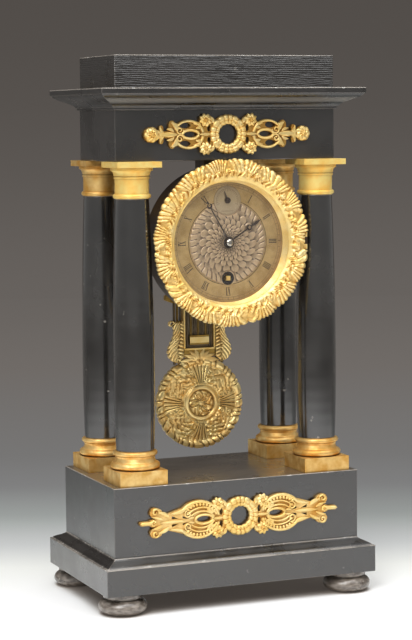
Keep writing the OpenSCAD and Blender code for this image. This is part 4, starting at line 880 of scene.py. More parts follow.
@dataclass(frozen=True)
class GridRods(Finish):
    """Rods of a compensated pendulum: brass and steel by turns, told apart by their place along X.

    Attributes:
        pitch: distance between neighbouring rods, in millimetres.
        brass: colours of the brass.
        steel: colour of the steel.
        rough: lowest and highest roughness.
        patch: size of the tarnished patches, in millimetres.
    """

    pitch: float = 3.6
    brass: tuple[str, str] = ("#9a8048", "#7a6238")
    steel: str = "#6b5f4e"
    rough: tuple[float, float] = (0.2, 0.5)
    patch: float = 6.0

    def build(self, tree: bpy.types.NodeTree, shader: bpy.types.Node) -> None:
        """Every second rod is steel: the fraction of x / (2 pitch) + 1/4 tells which.

        Args:
            tree: the material's nodes.
            shader: its surface shader.
        """
        place = add(tree, "ShaderNodeTexCoord").outputs["Object"]
        across = add(tree, "ShaderNodeSeparateXYZ", {0: place}).outputs["X"]
        pairs = add(tree, "ShaderNodeMath", {0: across, 1: scale(2 * self.pitch), 2: 0.25},
                    operation="MULTIPLY_ADD")
        share = add(tree, "ShaderNodeMath", {0: pairs}, operation="FRACT")
        which = add(tree, "ShaderNodeMath", {0: share, 1: 0.5}, operation="GREATER_THAN")
        patch = add(tree, "ShaderNodeTexNoise", {"Vector": place, "Scale": scale(self.patch), "Detail": 3.0})
        fresh, old = (srgb(code) for code in self.brass)
        brass = add(tree, "ShaderNodeMix", {0: patch, 6: fresh, 7: old}, data_type="RGBA")
        colour = add(tree, "ShaderNodeMix", {0: which, 6: brass, 7: srgb(self.steel)}, data_type="RGBA")
        gloss = add(tree, "ShaderNodeMapRange", {"Value": patch, "To Min": self.rough[0],
                                                 "To Max": self.rough[1]})
        wire(tree, shader, {"Base Color": colour, "Roughness": gloss, "Metallic": 1.0})


@dataclass(frozen=True)
class ClearGlass(Finish):
    """Thin window glass: seen through, with a soft gloss and faint wiping marks.

    Attributes:
        tint: its colour.
        film: least and greatest share of reflection that shows.
        wipe: size of the wiping marks, in millimetres.
    """

    tint: str = "#e9eeee"
    film: tuple[float, float] = (0.006, 0.016)
    wipe: float = 22.0

    def build(self, tree: bpy.types.NodeTree, shader: bpy.types.Node) -> None:
        """A thin film of reflection; wiping marks change how much of it shows.

        Args:
            tree: the material's nodes.
            shader: its surface shader.
        """
        place = add(tree, "ShaderNodeTexCoord").outputs["Object"]
        wipe = add(tree, "ShaderNodeTexNoise", {"Vector": place, "Scale": scale(self.wipe), "Detail": 3.0,
                                                "Distortion": 0.6})
        film = add(tree, "ShaderNodeMapRange", {"Value": wipe, "From Min": 0.3, "From Max": 0.7,
                                                "To Min": self.film[0], "To Max": self.film[1]})
        wire(tree, shader, {"Alpha": film, "Base Color": srgb(self.tint), "Roughness": 0.05,
                            "Specular IOR Level": 1.0})


CASE_WOOD = EbonisedWood("ebonised_wood_lengthwise")
CORNICE_WOOD = EbonisedWood("ebonised_wood_of_the_cornice", coat=0.1)
SLAB_WOOD = EbonisedWood("ebonised_wood_of_the_slab", dust_and_reflection="#625f5a")
COLUMN_WOOD = EbonisedWood("ebonised_wood_upright", Grain.ALONG_Z, "#1a1918", "#282624", chips=0.75, coat=1.0,
                           gloss=(0.16, 0.3), film=0.1)
TOP_WOOD = EbonisedWood("ebonised_wood_crazed", dark="#1b1918", light="#272422", ripple=0.3, coat=0.45)
FOOT_WOOD = EbonisedWood("stained_turned_foot", dark="#332b25", light="#74685c", chips=0.9, coat=0.35,
                         scuff=0.55)
GILT = GiltMetal("mercury_gilt_bronze")
BASE_GILT = GiltMetal("brushed_gilt_brass", bright="#fbd890", deep="#dba652", painted_shade="#966828", grit=1.6,
                      metal=0.85)
CAPITAL_GILT = GiltMetal("matt_gilt_capital", bright="#ffe289", deep="#fbc860", metal=0.45)
MOUNT_GROUND = GiltMetal("dull_gilt_ground", bright="#deb060", deep="#c29348", painted_shade="#4a3414")
SHADED_GILT = GiltMetal("shaded_gilt_brass", bright="#b8964f", deep="#987738", painted_shade="#4a3515")
PALE_GILT = GiltMetal("pale_gilt_bronze", bright="#ffe5a0", deep="#f9d47e", painted_shade="#cf9a42",
                      rough=(0.36, 0.5), metal=0.7)
PENDULUM_GILT = GiltMetal("antique_gilt_brass", bright="#ffe5a0", deep="#fbd082", painted_shade="#5c3f14",
                          rough=(0.26, 0.4), metal=0.9)
CLOCK_BRASS = PaintedMetal("satin_clock_brass", "#b8935a", "#a5834b", 1.0, (0.28, 0.42))
DRUM_LACQUER = PaintedMetal("brown_lacquered_iron", "#2c1f17", "#46341f", 0.0, (0.3, 0.45))
BROWNED_STEEL = PaintedMetal("browned_steel", "#2a1e15", "#3b2c20", 0.0, (0.35, 0.5))
PALE_STEEL = PaintedMetal("polished_steel", "#c4beb2", "#a8a298", 1.0, (0.2, 0.34))
# Painted shade: a brown sheet behind the pendulum's rods, for the gaps between them
PAINTED_SHADE_BOARD = PaintedMetal("painted_grid_shade", "#7d6d4e", "#695a40", 0.0, (0.5, 0.7))
DIAL_INK = PaintedMetal("black_dial_wax", "#17100b", "#2b2017", 0.0, (0.5, 0.7))
FAINT_INK = PaintedMetal("worn_dial_wax", "#6a553e", "#8a7355", 0.2, (0.5, 0.7))
RODS = GridRods("brass_and_steel_rods")
GLASS = ClearGlass("thin_bezel_glass")


def piece(name: str, sheets: list[Sheet], finish: Finish, body: str,
          replaces: tuple[str, ...] = ()) -> None:
    """Joins sheets into one mesh in metres, closes its seams and puts it on its body.

    Args:
        name: the piece's name.
        sheets: its surfaces.
        finish: its finish.
        body: the body that it rides on.
        replaces: CAD nodes that it stands for.
    """
    starts = np.cumsum([0] + [s.points.shape[0] * s.points.shape[1] for s in sheets])
    points = np.concatenate([s.points.reshape(-1, 3) for s in sheets]) * MM
    quads = np.concatenate([s.quads(int(n)) for s, n in zip(sheets, starts)])
    mesh = bpy.data.meshes.new(name)
    mesh.from_pydata(points, [], quads)
    # Painted shade of each point in the relief's hollows, for the finishes to paint
    deep = mesh.attributes.new("painted_shade", "FLOAT", "POINT")
    deep.data.foreach_set("value", np.concatenate([s.shades() for s in sheets]))
    work = bmesh.new()
    work.from_mesh(mesh)
    bmesh.ops.remove_doubles(work, verts=work.verts, dist=SEAM * MM)
    bmesh.ops.recalc_face_normals(work, faces=work.faces)
    work.to_mesh(mesh)
    work.free()
    mesh.shade_smooth()
    mesh.set_sharp_from_angle(angle=SHARP)
    obj = bpy.data.objects.new(name, mesh)
    bpy.context.scene.collection.objects.link(obj)
    mesh.materials.append(finish.material())
    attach(obj, body)
    if replaces:
        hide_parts(*replaces)
    LOG.info("%s: %d faces on %s", name, len(mesh.polygons), body)


# Sub-assemblies


@dataclass
class Case:
    """The wooden case with its columns and the fixings inside it.

    Attributes:
        stands: where the four columns stand, front or rear and left or right.
    """

    stands: tuple[str, ...] = ("fl", "fr", "rl", "rr")

    def dress(self) -> None:
        """Wood, gilt bases and capitals, the rear capitals darker as painted shade, and plain steel for what
        is hidden.
        """
        CASE_WOOD.dress("plinth_box", "frieze_box")
        CORNICE_WOOD.dress("cornice")
        SLAB_WOOD.dress("base_slab")
        TOP_WOOD.dress("top_block")
        FOOT_WOOD.dress("bun_feet")
        COLUMN_WOOD.dress(*[f"column_shaft_{c}" for c in self.stands])
        BASE_GILT.dress(*[f"column_base_{c}" for c in self.stands])
        # Painted shade: the rear capitals take the darker gilt of the bases, for the shade they stand in
        BASE_GILT.dress("capital_rl", "capital_rr")
        CAPITAL_GILT.dress("capital_fl", "capital_fr")
        PALE_STEEL.dress("column_tie_bolts", "case_screws", "movement_screws")


@dataclass
class Mount:
    """A pierced gilt mount: relief on the CAD plate, from a wreath in the middle to two arms.

    Attributes:
        node: the CAD plate.
        wreath: inner and outer radius of the wreath.
        rosette_at: place of the rosettes beside the wreath.
        rosette_size: their radius and rise.
        ground: finish of the plate under the relief.
        along: points along a strip.
        sheets: the relief so far.
    """

    node: str
    ground: Finish = MOUNT_GROUND
    wreath: tuple[float, float] = (9.2, 16.9)
    rosette_at: tuple[float, float] = (21.2, 12.2)
    rosette_size: tuple[float, float] = (6.2, 3.0)
    along: int = 46
    sheets: list[Sheet] = field(default_factory=list)

    def place(self) -> tuple[float, float, float]:
        """Half the plate's length, its front and its middle height, in millimetres."""
        low, high = corners(self.node)
        return high[0], low[1], middle_height(self.node)

    def put(self, sheet: Sheet, flip: bool = True) -> None:
        """Adds a shape of the right arm, with its copies on the left, and above and below.

        Args:
            sheet: the shape.
            flip: also turn it over about the middle height.
        """
        middle = self.place()[2]
        found = [sheet, sheet.mirrored(z=middle)] if flip else [sheet]
        self.sheets += found + [s.mirrored(x=True) for s in found]

    def leaves(self, *plans: tuple[float, ...]) -> None:
        """Puts leaves on the right arm; those off its middle line are also turned over.

        Args:
            *plans: for each leaf, X and height of its stalk, X and height of its tip, its bow, half its
                width and its rise, with heights from the middle line.
        """
        _, front, z = self.place()
        for x, up, tip_x, tip_up, bow, half, rise in plans:
            self.put(leaf((x, z + up), (tip_x, z + tip_up), bow, half, rise, front), flip=bool(up or tip_up))

    def arch(self, x: float, size: tuple[float, float], sweep: tuple[float, float],
             half: tuple[float, float], rise: float) -> None:
        """Puts a strip on part of an ellipse about the arm's middle line.

        Args:
            x: X of the ellipse's middle.
            size: half its width and half its height.
            sweep: first and last angle, in degrees from +X towards +Z.
            half: half the strip's width at its start and end.
            rise: height of the strip.
        """
        _, front, z = self.place()
        s = np.linspace(0, 1, self.along)
        turn = np.radians(sweep[0] + (sweep[1] - sweep[0]) * s)
        path = np.stack([x + size[0] * np.cos(turn), z + size[1] * np.sin(turn)], -1)
        self.put(strip(path, half[0] + (half[1] - half[0]) * s, np.full(self.along, rise), front))

    def middle(self) -> None:
        """The wreath of overlapping leaves, four rosettes and the leaves between them."""
        _, front, z = self.place()
        inner, outer = self.wreath
        t = np.linspace(0, 1, 15)[:, None]
        a = around(240)[None]
        # Radial leaves on a flat crown: ridges of 18 * turn, a vein round the middle, lobed edges
        leaves = round_ridge(18 * a / TURN + 0.22 * np.sin(4 * a))
        lumps = round_ridge(14 * a / TURN + 0.3)
        vein = bell(t, 0.4, 0.08)
        height = 2.5 * np.sin(np.pi * t) ** 0.4 * (0.5 + 0.5 * leaves) - 0.9 * vein
        radius = inner + (outer - inner) * t + 1.4 * t ** 3 * (leaves - 0.75) - 0.9 * (1 - t) ** 3 * lumps
        shade = 0.6 * (1 - leaves) * step(t, 0.4, 0.6) + 0.5 * vein
        face = turned(radius, front - height, a, 0.0, z)
        back = turned(radius[::-1][[0, -1]], np.array([[front + SEAT]]), a, 0.0, z)
        self.sheets.append(Sheet(np.concatenate([face, back]), round_rows=True, painted_shade=shade))
        x, up = self.rosette_at
        self.put(rosette(x, z + up, front, *self.rosette_size, 8, lobe=0.12, twist=0.5))
        self.leaves((15.6, 0.0, 28.5, 0.0, 0.0, 1.5, 2.2), (14.2, 9.4, 16.8, 15.2, 0.6, 1.9, 2.0),
                    (24.5, 6.0, 30.5, 4.6, 0.6, 1.9, 2.2))

    def finish(self) -> None:
        """Makes the piece and dresses the plate under it."""
        piece(f"{self.node}_relief", self.sheets, PALE_GILT, "case")
        self.ground.dress(self.node)


@dataclass
class FriezeMount(Mount):
    """The upper mount: open scroll loops, a palmette and a bud on each arm.

    Attributes:
        node: the CAD plate.
    """

    node: str = "frieze_mount"

    def build(self) -> None:
        """The middle, then one arm that is copied to the other side."""
        self.middle()
        tip, front, z = self.place()
        self.arch(37.0, (13.2, 11.6), (172, 20), (1.35, 1.0), 1.9)
        self.arch(35.2, (7.4, 3.75), (186, -4), (1.15, 1.15), 1.8)
        self.leaves((25.5, 7.6, 33.0, 9.0, 0.8, 1.8, 2.2))
        self.put(scroll(45.2, z + 3.6, front, 3.6, 0.7, 170, 1.35, 0.95, 1.9))
        self.leaves((46.0, 8.6, 52.2, 11.4, -1.4, 1.5, 1.9), (48.0, 2.4, 53.4, 10.4, 1.6, 2.1, 2.4),
                    (47.0, 0.0, tip - 12.5, 0.0, 0.0, 2.5, 2.4), (50.5, 2.0, 57.5, 4.6, 1.0, 1.5, 2.0),
                    (tip - 18.5, 1.2, tip - 14.8, 7.6, -1.4, 1.4, 1.9),
                    (tip - 17.0, 0.8, tip - 11.5, 4.6, -0.8, 1.3, 1.8))
        self.put(rosette(tip - 7.0, z, front, 6.9, 3.6, 7, lobe=0.06, twist=1.1, boss=0.35), flip=False)
        self.finish()


@dataclass
class PlinthMount(Mount):
    """The lower mount: shields of double scrolls, a waist and a leafy end on each arm.

    Attributes:
        node: the CAD plate.
        ground: finish of the plate under the relief.
        along: points along a strip.
        finger: length of the plain finger at the end of each arm.
    """

    node: str = "plinth_mount"
    ground: Finish = BASE_GILT
    along: int = 54
    finger: float = 15.0

    def build(self) -> None:
        """The middle, then one arm that is copied to the other side."""
        self.middle()
        tip, front, z = self.place()
        end = tip - self.finger
        self.arch(39.0, (18.6, 15.6), (168, 30), (1.35, 1.35), 2.0)
        self.arch(34.2, (8.2, 4.0), (186, -6), (1.2, 1.2), 1.9)
        for wide, tall, low in ((11.4, 7.2, 8.0), (14.6, 10.6, 20.0)):
            self.arch(36.6, (wide, tall), (180 - low, 30), (1.15, 0.75), 1.9)
        for angle in np.radians(np.linspace(158, 46, 11)):
            out = np.array([math.cos(angle), math.sin(angle)])
            stalk = np.array([38.2, z]) + out * (14.6, 11.6)
            point = np.array([39.0, z]) + out * (18.2, 15.4)
            self.put(leaf(tuple(stalk), tuple(point), 0.3, 1.5, 2.2, front, groove=0.0, count=8))
        self.put(scroll(49.2, z + 5.6, front, 3.8, 0.7, 150, -1.5, 0.95, 2.0))
        self.leaves((27.5, 6.4, 31.5, 10.4, -1.0, 1.7, 2.2), (44.0, 12.4, 52.0, 10.4, 0.9, 1.5, 2.0),
                    (50.0, 11.0, 66.0, 6.8, -1.2, 1.7, 2.2), (43.0, 1.6, 49.5, 1.0, 0.8, 1.2, 1.7),
                    (52.0, 0.0, end - 3.0, 0.0, 0.0, 1.6, 2.2),
                    (end - 12.0, 4.0, end - 1.0, 8.8, 1.2, 1.8, 2.2))
        self.put(scroll(end + 0.8, z + 9.4, front, 3.5, 0.7, 215, -1.2, 1.05, 2.0))
        self.leaves((end - 6.0, 2.0, end + 4.4, 5.2, 0.8, 1.4, 2.0))
        self.put(rosette(end + 2.5, z, front, 3.2, 2.2, 6), flip=False)
        s = np.linspace(0, 1, self.along)
        finger = np.stack([end + 4.0 + (tip - 0.3 - end - 4.0) * s, np.full(self.along, z)], -1)
        self.put(strip(finger, 1.7 * np.sqrt(1 - 0.99 * s ** 8), np.full(self.along, 1.9), front), flip=False)
        self.finish()


@dataclass
class Bezel:
    """The gilt bezel: a smooth band and a border of leaf fans with a knobbly rim.

    Attributes:
        back: Y of its back.
        glass: Y of the glass's front.
        hole: radius of the opening.
        seat: radius of the rebate for the glass.
        band: radius where the smooth band ends.
        rim: radius of the longest leaf tips.
        fans: number of leaf fans.
        fingers: leaves in a fan.
        hinge: X and Y of the hinge pin.
        knuckle: where a hinge leaf begins and ends, from the middle height.
        barrel: outer radius of its tube, and radius of the bore.
        notch: X where the hinge notch begins, and half its height.
    """

    back: float = -52.25
    glass: float = -54.75
    hole: float = 53.7
    seat: float = 59.95
    band: float = 54.7
    rim: float = 73.3
    fans: int = 15
    fingers: int = 7
    hinge: tuple[float, float] = (71.0, -54.0)
    knuckle: tuple[float, float] = (3.2, 7.4)
    barrel: tuple[float, float] = (1.6, 0.75)
    notch: tuple[float, float] = (68.0, 8.2)

    def border(self, turn: np.ndarray) -> tuple[np.ndarray, np.ndarray, np.ndarray]:
        """Radii, depths and painted shade of the leaf border.

        Each fan's leaves spread outwards: the leaf number is the place in the fan, widened from 0.34
        to 1 of the fan between band and rim. A leaf's section is a rounded ridge, inside them lies a row
        of small slanted leaves, and a volute stands between two fans. Slow waves make every fan a
        little different.

        Args:
            turn: one row of angles.

        Returns:
            Radii, depths and painted shade, rows by columns.
        """
        u = np.concatenate([np.linspace(0, 0.9, 31), [0.94, 0.97, 1.0]])[:, None]
        wander = 0.10 * np.sin(5 * turn + 1.0) + 0.07 * np.sin(11 * turn + 2.3)
        fan = np.mod(self.fans * turn / TURN + wander, 1.0) - 0.5
        number = fan / (0.34 + 0.66 * u) * self.fingers
        inside = step(self.fingers / 2 - np.abs(number), -0.25, 0.2)
        leaves = round_ridge(number + self.fingers / 2) * inside
        tips = round_ridge(fan[:1] * self.fingers + self.fingers / 2)
        longest = self.rim - 1.9 * (1 - tips) - 1.3 * (2 * fan) ** 2 + 0.3 * np.sin(29 * turn + 0.7)
        radius = self.band + u * (longest - self.band)
        crown = 3.2 + 3.0 * np.sin(np.pi * np.clip(0.9 * u, 0, 1)) ** 0.8 - 0.6 * step(u, 0.8, 1.0)
        small = round_ridge(3 * self.fans * turn / TURN + 3 * wander + 1.0 * u)
        inner_row = step(u, 0.06, 0.1) * (1 - step(u, 0.2, 0.3))
        outer_row = step(u, 0.36, 0.56)
        # Foliage: crossed waves about 3 mm long, bent by slower ones
        bent = 2.2 * np.sin(13 * turn + 4 * u) + 1.6 * np.sin(31 * turn - 9 * u + 1.3)
        foliage = np.sin(64 * turn + bent + 6 * u) * np.sin(19 * u + 1.3 * bent + 0.8)
        middle_row = step(u, 0.1, 0.2) * (1 - outer_row)
        # Volutes between the fans: a ring and an eye about a point on each fan's border
        beside = (np.abs(fan) - 0.5) * TURN * radius / self.fans
        off = np.hypot((u - 0.40) * (self.rim - self.band), beside)
        volute = bell(off, 2.6, 0.8) + 0.9 * bell(off, 0.0, 1.0)
        ball = 0.9 * bell(u, 0.88, 0.08) * leaves
        rough = 0.3 * np.sin(41 * turn + 11 * u) * np.sin(23 * turn - 17 * u) * step(u, 0.05, 0.2)
        relief = outer_row * (1.7 * leaves - 1.0) + inner_row * (small - 0.5) + 0.7 * volute + ball + rough
        relief = relief + middle_row * (1.1 * foliage - 0.2)
        shade = 0.55 * step(0.5 - relief, 0.2, 1.4) * step(u, 0.03, 0.1)
        return radius, self.back - (crown + relief), shade

    def build(self) -> None:
        """The border, the band, the back and the two hinge leaves, as one piece for the CAD bezel."""
        z = middle_height("bezel_glass")
        turn = around(1296)[None]
        radius, depth, shade = self.border(turn)
        ones = np.ones_like(turn)
        band = np.array([(self.seat, self.back), (self.seat, self.glass), (self.hole, self.glass),
                         (self.hole, self.glass - 0.3), (self.hole + 0.15, self.glass - 0.6),
                         (self.hole + 0.45, self.glass - 0.8), (self.hole + 0.75, self.glass - 0.6)])
        # The rim turns in behind the tips: how far inside them, and how far in front of the back
        rim = np.array([(0.1, 2.35), (0.5, 0.95), (2.4, 0.0)])
        rows_r = np.concatenate([band[:, :1] * ones, radius, radius[-1:] - rim[:, :1]])
        rows_y = np.concatenate([band[:, 1:] * ones, depth, (self.back - rim[:, 1:]) * ones])
        x_side = np.sin(turn) * np.ones_like(rows_r)
        near = (np.abs(rows_r * np.cos(turn)) < self.notch[1]) & (x_side > 0)
        rows_r = np.where(near, np.minimum(rows_r, self.notch[0] / np.maximum(x_side, 0.5)), rows_r)
        shades = np.concatenate([np.zeros((len(band), turn.shape[1])), shade])
        sheets = [Sheet(turned(rows_r, rows_y, turn, 0.0, z), round_rows=True, painted_shade=shades)]
        x, y = self.hinge
        for sign in (-1, 1):
            low, high = sorted(z + sign * end for end in self.knuckle)
            sheets.append(tube(x, y, low, high, *self.barrel))
            sheets.append(prism(rectangle(x - 4.6, x - 1.0, low, high), y + 1.0, y - 1.0))
        piece("bezel_leafwork", sheets, PALE_GILT, "bezel_door", ("bezel",))
        PALE_GILT.dress("bezel", "sight_ring", "bezel_hinge_pin")
        GLASS.dress("bezel_glass")


@dataclass
class Dial:
    """The dial with its embossed middle, its numerals, the small dial and the hands.

    Attributes:
        front: Y of the dial's face.
        rosette_r: inner and outer radius of the embossed field.
        numeral_r: inner and outer radius of the numerals.
        winding: distance of the winding hole below the middle, and its radius.
        small: distance of the small dial above the middle, and its radius.
        numerals: the hours from one to eleven.
        widths: width of each letter.
        strokes: half the width of an I, a thick stroke, a thin stroke and a serif.
        chapter_r: inner and outer radius of the line inside the numerals.
        track_r: inner radius of the minute track's two lines.
        scale_r: inner and outer radius of the small dial's ticks.
        line: width of a fine line.
        wax: how far a line lies behind and in front of the dial's face.
    """

    front: float = -45.5
    rosette_r: tuple[float, float] = (4.6, 35.8)
    numeral_r: tuple[float, float] = (39.4, 46.4)
    winding: tuple[float, float] = (31.3, 6.0)
    small: tuple[float, float] = (36.6, 12.5)
    numerals: tuple[str, ...] = ("I", "II", "III", "IIII", "V", "VI", "VII", "VIII", "IX", "X", "XI")
    widths: tuple[tuple[str, float], ...] = (("I", 1.35), ("V", 2.9), ("X", 2.9))
    strokes: tuple[float, float, float, float] = (0.3, 0.32, 0.1, 0.09)
    chapter_r: tuple[float, float] = (36.4, 37.0)
    track_r: tuple[float, float] = (47.9, 50.2)
    scale_r: tuple[float, float] = (8.8, 10.2)
    line: float = 0.25
    wax: tuple[float, float] = (0.02, 0.06)

    def reach(self, turn: np.ndarray, sign: int, away: float, radius: float) -> np.ndarray:
        """How far a ray from the middle goes before it meets a round cut-out.

        With the cut-out's centre at a distance d and an angle b off the ray, the ray meets it at
        d cos(b) - (r^2 - d^2 sin(b)^2)^0.5.

        Args:
            turn: angles of the rays.
            sign: 1 for a cut-out above the middle, -1 for one below.
            away: distance of its centre.
            radius: its radius.

        Returns:
            Distances, no more than the field's outer radius.
        """
        along = sign * np.cos(turn) * away
        room = radius ** 2 - away ** 2 + along ** 2
        meets = (room > 0) & (along > 0)
        outer = self.rosette_r[1]
        return np.where(meets, np.minimum(along - np.sqrt(np.maximum(room, 0)), outer), outer)

    def embossed(self, z: float) -> Sheet:
        """The field of overlapping round leaves, in rings that widen with the radius.

        On a grid of turn and log(radius), each leaf rises outwards to a round edge, where mod(ring / 2 +
        0.3 across^2, 1) falls back, every second ring is set off by half a leaf, and the higher leaf
        shows. The outermost ring is a row of rounded rays. The cut-outs shorten the field.

        Args:
            z: height of the dial's middle.

        Returns:
            The closed sheet.
        """
        inner, outer = self.rosette_r
        turn = around(720)[None]
        end = np.minimum(self.reach(turn, 1, self.small[0], self.small[1] + 0.9),
                         self.reach(turn, -1, self.winding[0], self.winding[1] + 0.9))
        t = np.linspace(0, 1, 68)[:, None]
        radius = inner + t * (end - inner)
        rings = 8.0 * np.log(radius / inner) / math.log(outer / inner)
        place = 20 * turn / TURN + 0.35 * np.sin(0.9 * rings) + 0.12 * np.sin(3 * turn + 2 * rings)
        height = np.zeros_like(radius)
        for shift in (0.0, 0.5):
            across = 2 * np.abs(np.mod(place + shift, 1.0) - 0.5)
            rising = np.mod(rings / 2 + shift + 0.3 * across ** 2, 1.0)
            lying = rising * np.clip(1.1 - across ** 4, 0, 1) * (1 - step(rising, 0.93, 1.0))
            height = np.maximum(height, lying)
        rays = round_ridge(2 * place + 0.25) * np.sin(np.pi * np.clip((radius - 28.5) / 8.0, 0, 1)) ** 0.5
        height = height + step(radius, 28.5, 30.0) * (rays - height)
        soft = step(end - radius, 0.0, 0.8) * step(radius, inner, inner + 1.0)
        face = turned(radius, self.front - 0.05 - 1.3 * height * soft * step(radius, 2.0, 14.0), turn, 0.0, z)
        ends = [turned(radius[[k]], np.full((1, 1), self.front + 0.1), turn, 0.0, z) for k in (-1, 0)]
        # Painted shade: darker where a leaf falls back and round the middle; 0.12 darkens the whole field
        shade = 0.12 + 0.8 * step(0.8 - height, 0.0, 0.7) * soft + 0.3 * (1 - step(radius, 6.0, 12.0))
        return Sheet(np.concatenate([face] + ends), round_rows=True, painted_shade=shade)

    def inlaid(self, flat: np.ndarray, z: float) -> Sheet:
        """A flat shape about the dial's middle, as a thin piece on its face."""
        return prism(flat + np.array([0.0, z]), self.front + self.wax[0], self.front - self.wax[1])

    def mark(self, a: tuple[float, float], b: tuple[float, float], half: float, hour: float,
             z: float) -> Sheet:
        """A stroke of a numeral or a tick, turned to its hour.

        Args:
            a: place across and out from the middle.
            b: the other end.
            half: half the stroke's width.
            hour: the hour that it stands at.
            z: height of the dial's middle.

        Returns:
            The stroke as a thin raised piece.
        """
        turn = math.radians(30 * hour)
        c, s = math.cos(turn), math.sin(turn)
        return self.inlaid(stroke(a, b, half) @ np.array([[c, -s], [s, c]]), z)

    def lettering(self, z: float) -> list[Sheet]:
        """The Roman numerals and the line inside them, which stops at the small dial.

        Bars for I, two slanted bars for V, two crossed for X, with thin serifs.

        Args:
            z: height of the dial's middle.

        Returns:
            The strokes and the line.
        """
        low, high = self.numeral_r
        found: list[Sheet] = []
        width = dict(self.widths)
        bar, thick, thin, serif = self.strokes
        for hour, word in enumerate(self.numerals, start=1):
            at = -sum(width[c] for c in word) / 2
            found.append(self.mark((at, low), (-at, low), serif, hour, z))
            found.append(self.mark((at, high), (-at, high), serif, hour, z))
            for letter in word:
                wide = width[letter]
                left, mid, right = at + 0.35, at + wide / 2, at + wide - 0.35
                if letter == "I":
                    found.append(self.mark((mid, low), (mid, high), bar, hour, z))
                elif letter == "V":
                    found.append(self.mark((left, high), (mid, low), thick, hour, z))
                    found.append(self.mark((right, high), (mid, low), thin, hour, z))
                else:
                    found.append(self.mark((left, high), (right, low), thick, hour, z))
                    found.append(self.mark((right, high), (left, low), thin, hour, z))
                at += wide
        gap = 2 * math.degrees(math.asin((self.small[1] + 0.5) / sum(self.chapter_r)))
        found.append(ring(0.0, z, self.front, *self.chapter_r, 0.1, 240, gap, 360 - 2 * gap))
        return found

    def tracks(self, z: float) -> list[Sheet]:
        """The minute track with its ticks, and the small dial's scale, rim and line.

        Args:
            z: height of the dial's middle.

        Returns:
            The lines.
        """
        inner, outer = self.track_r
        found = [ring(0.0, z, self.front, r, r + self.line, 0.05, 240) for r in (outer, inner)]
        for minute in range(60):
            half = 0.22 if minute % 5 == 0 else 0.1
            found.append(self.mark((0.0, inner + 0.2), (0.0, outer + 0.1), half, minute / 5, z))
        up, small_r = self.small
        start, end = self.scale_r
        for k, angle in enumerate(np.radians(np.linspace(-110, 110, 23))):
            out = np.array([math.sin(angle), math.cos(angle)])
            longer = 1.0 if k % 11 == 0 else 0.0
            tick = stroke(tuple(out * (start - longer) + [0, up]), tuple(out * end + [0, up]), 0.12)
            found.append(self.inlaid(tick, z))
        found.append(ring(0.0, z + up, self.front, end, end + self.line, 0.05, 96, -115, 230))
        found.append(ring(0.0, z + up, self.front, small_r - 0.2, small_r + 0.3, 0.25, 120))
        low = up - small_r + 3.2
        found.append(self.inlaid(stroke((-5.5, low), (5.5, low), 0.14), z))
        return found

    def build(self) -> None:
        """The embossed field, the lines and numerals, and the finishes of dial and hands."""
        z = middle_height("sight_ring")
        body, slot = "case", "silvered_dial"
        up, small_r = self.small
        silver = SilveredBrass("aged_silvered_dial", (
            RoundField((0.0, self.front, z), self.rosette_r[1], soft=0.5, share=0.8, colour="#ccb292"),
            RoundField((0.0, self.front, z + up), small_r, soft=0.4, share=0.75, colour="#b7a484")))
        piece("dial_embossed_field", [self.embossed(z)], silver, body)
        piece("dial_numerals", self.lettering(z), DIAL_INK, body)
        piece("dial_minute_track", self.tracks(z), FAINT_INK, body)
        down, hole = self.winding
        collar = ring(0.0, z - down, self.front, hole, hole + 0.8, 0.35, 64)
        piece("winding_hole_collar", [collar], silver, body)
        # Painted shade: a black ring behind the dial, seen in the winding hole
        hole_shade = ring(0.0, z - down, self.front + 1.35, 3.6, hole + 0.2, 0.1, 64)
        piece("winding_hole_painted_shade", [hole_shade], DIAL_INK, body)
        silver.dress("dial_plate")
        BROWNED_STEEL.dress("minute_hand", "hour_hand", "regulator_hand")
        PALE_STEEL.dress("hand_collet")


@dataclass
class Movement:
    """The drum and the movement inside it, which keep their CAD shapes.

    Attributes:
        brass: nodes of satin brass.
        steel: nodes of polished steel.
        browned: nodes of browned steel.
    """

    brass: tuple[str, ...] = ("front_plate", "back_plate", "movement_pillars", "mainspring_barrel",
                              "intermediate_wheel", "center_wheel", "third_wheel", "escape_wheel",
                              "minute_wheel", "hour_wheel", "suspension_cock", "suspension_slide")
    steel: tuple[str, ...] = ("pallets", "crutch", "cannon_pinion", "suspension_spring")
    # The ratchet wheel and click are browned also as painted shade, dark in the winding hole
    browned: tuple[str, ...] = ("mainspring", "ratchet_wheel", "click", "regulator_arbor")

    def dress(self) -> None:
        """Lacquer on the drum, brass and steel inside, a ratchet and click darkened also as painted shade,
        and a bright winding square gilt as a painted reflection.
        """
        DRUM_LACQUER.dress("drum_shell", "drum_hanger")
        CLOCK_BRASS.dress(*self.brass)
        PALE_STEEL.dress(*self.steel)
        BROWNED_STEEL.dress(*self.browned)
        # The winding square is gilt as a painted reflection of gold
        GILT.dress("mount_pins", "barrel_arbor")


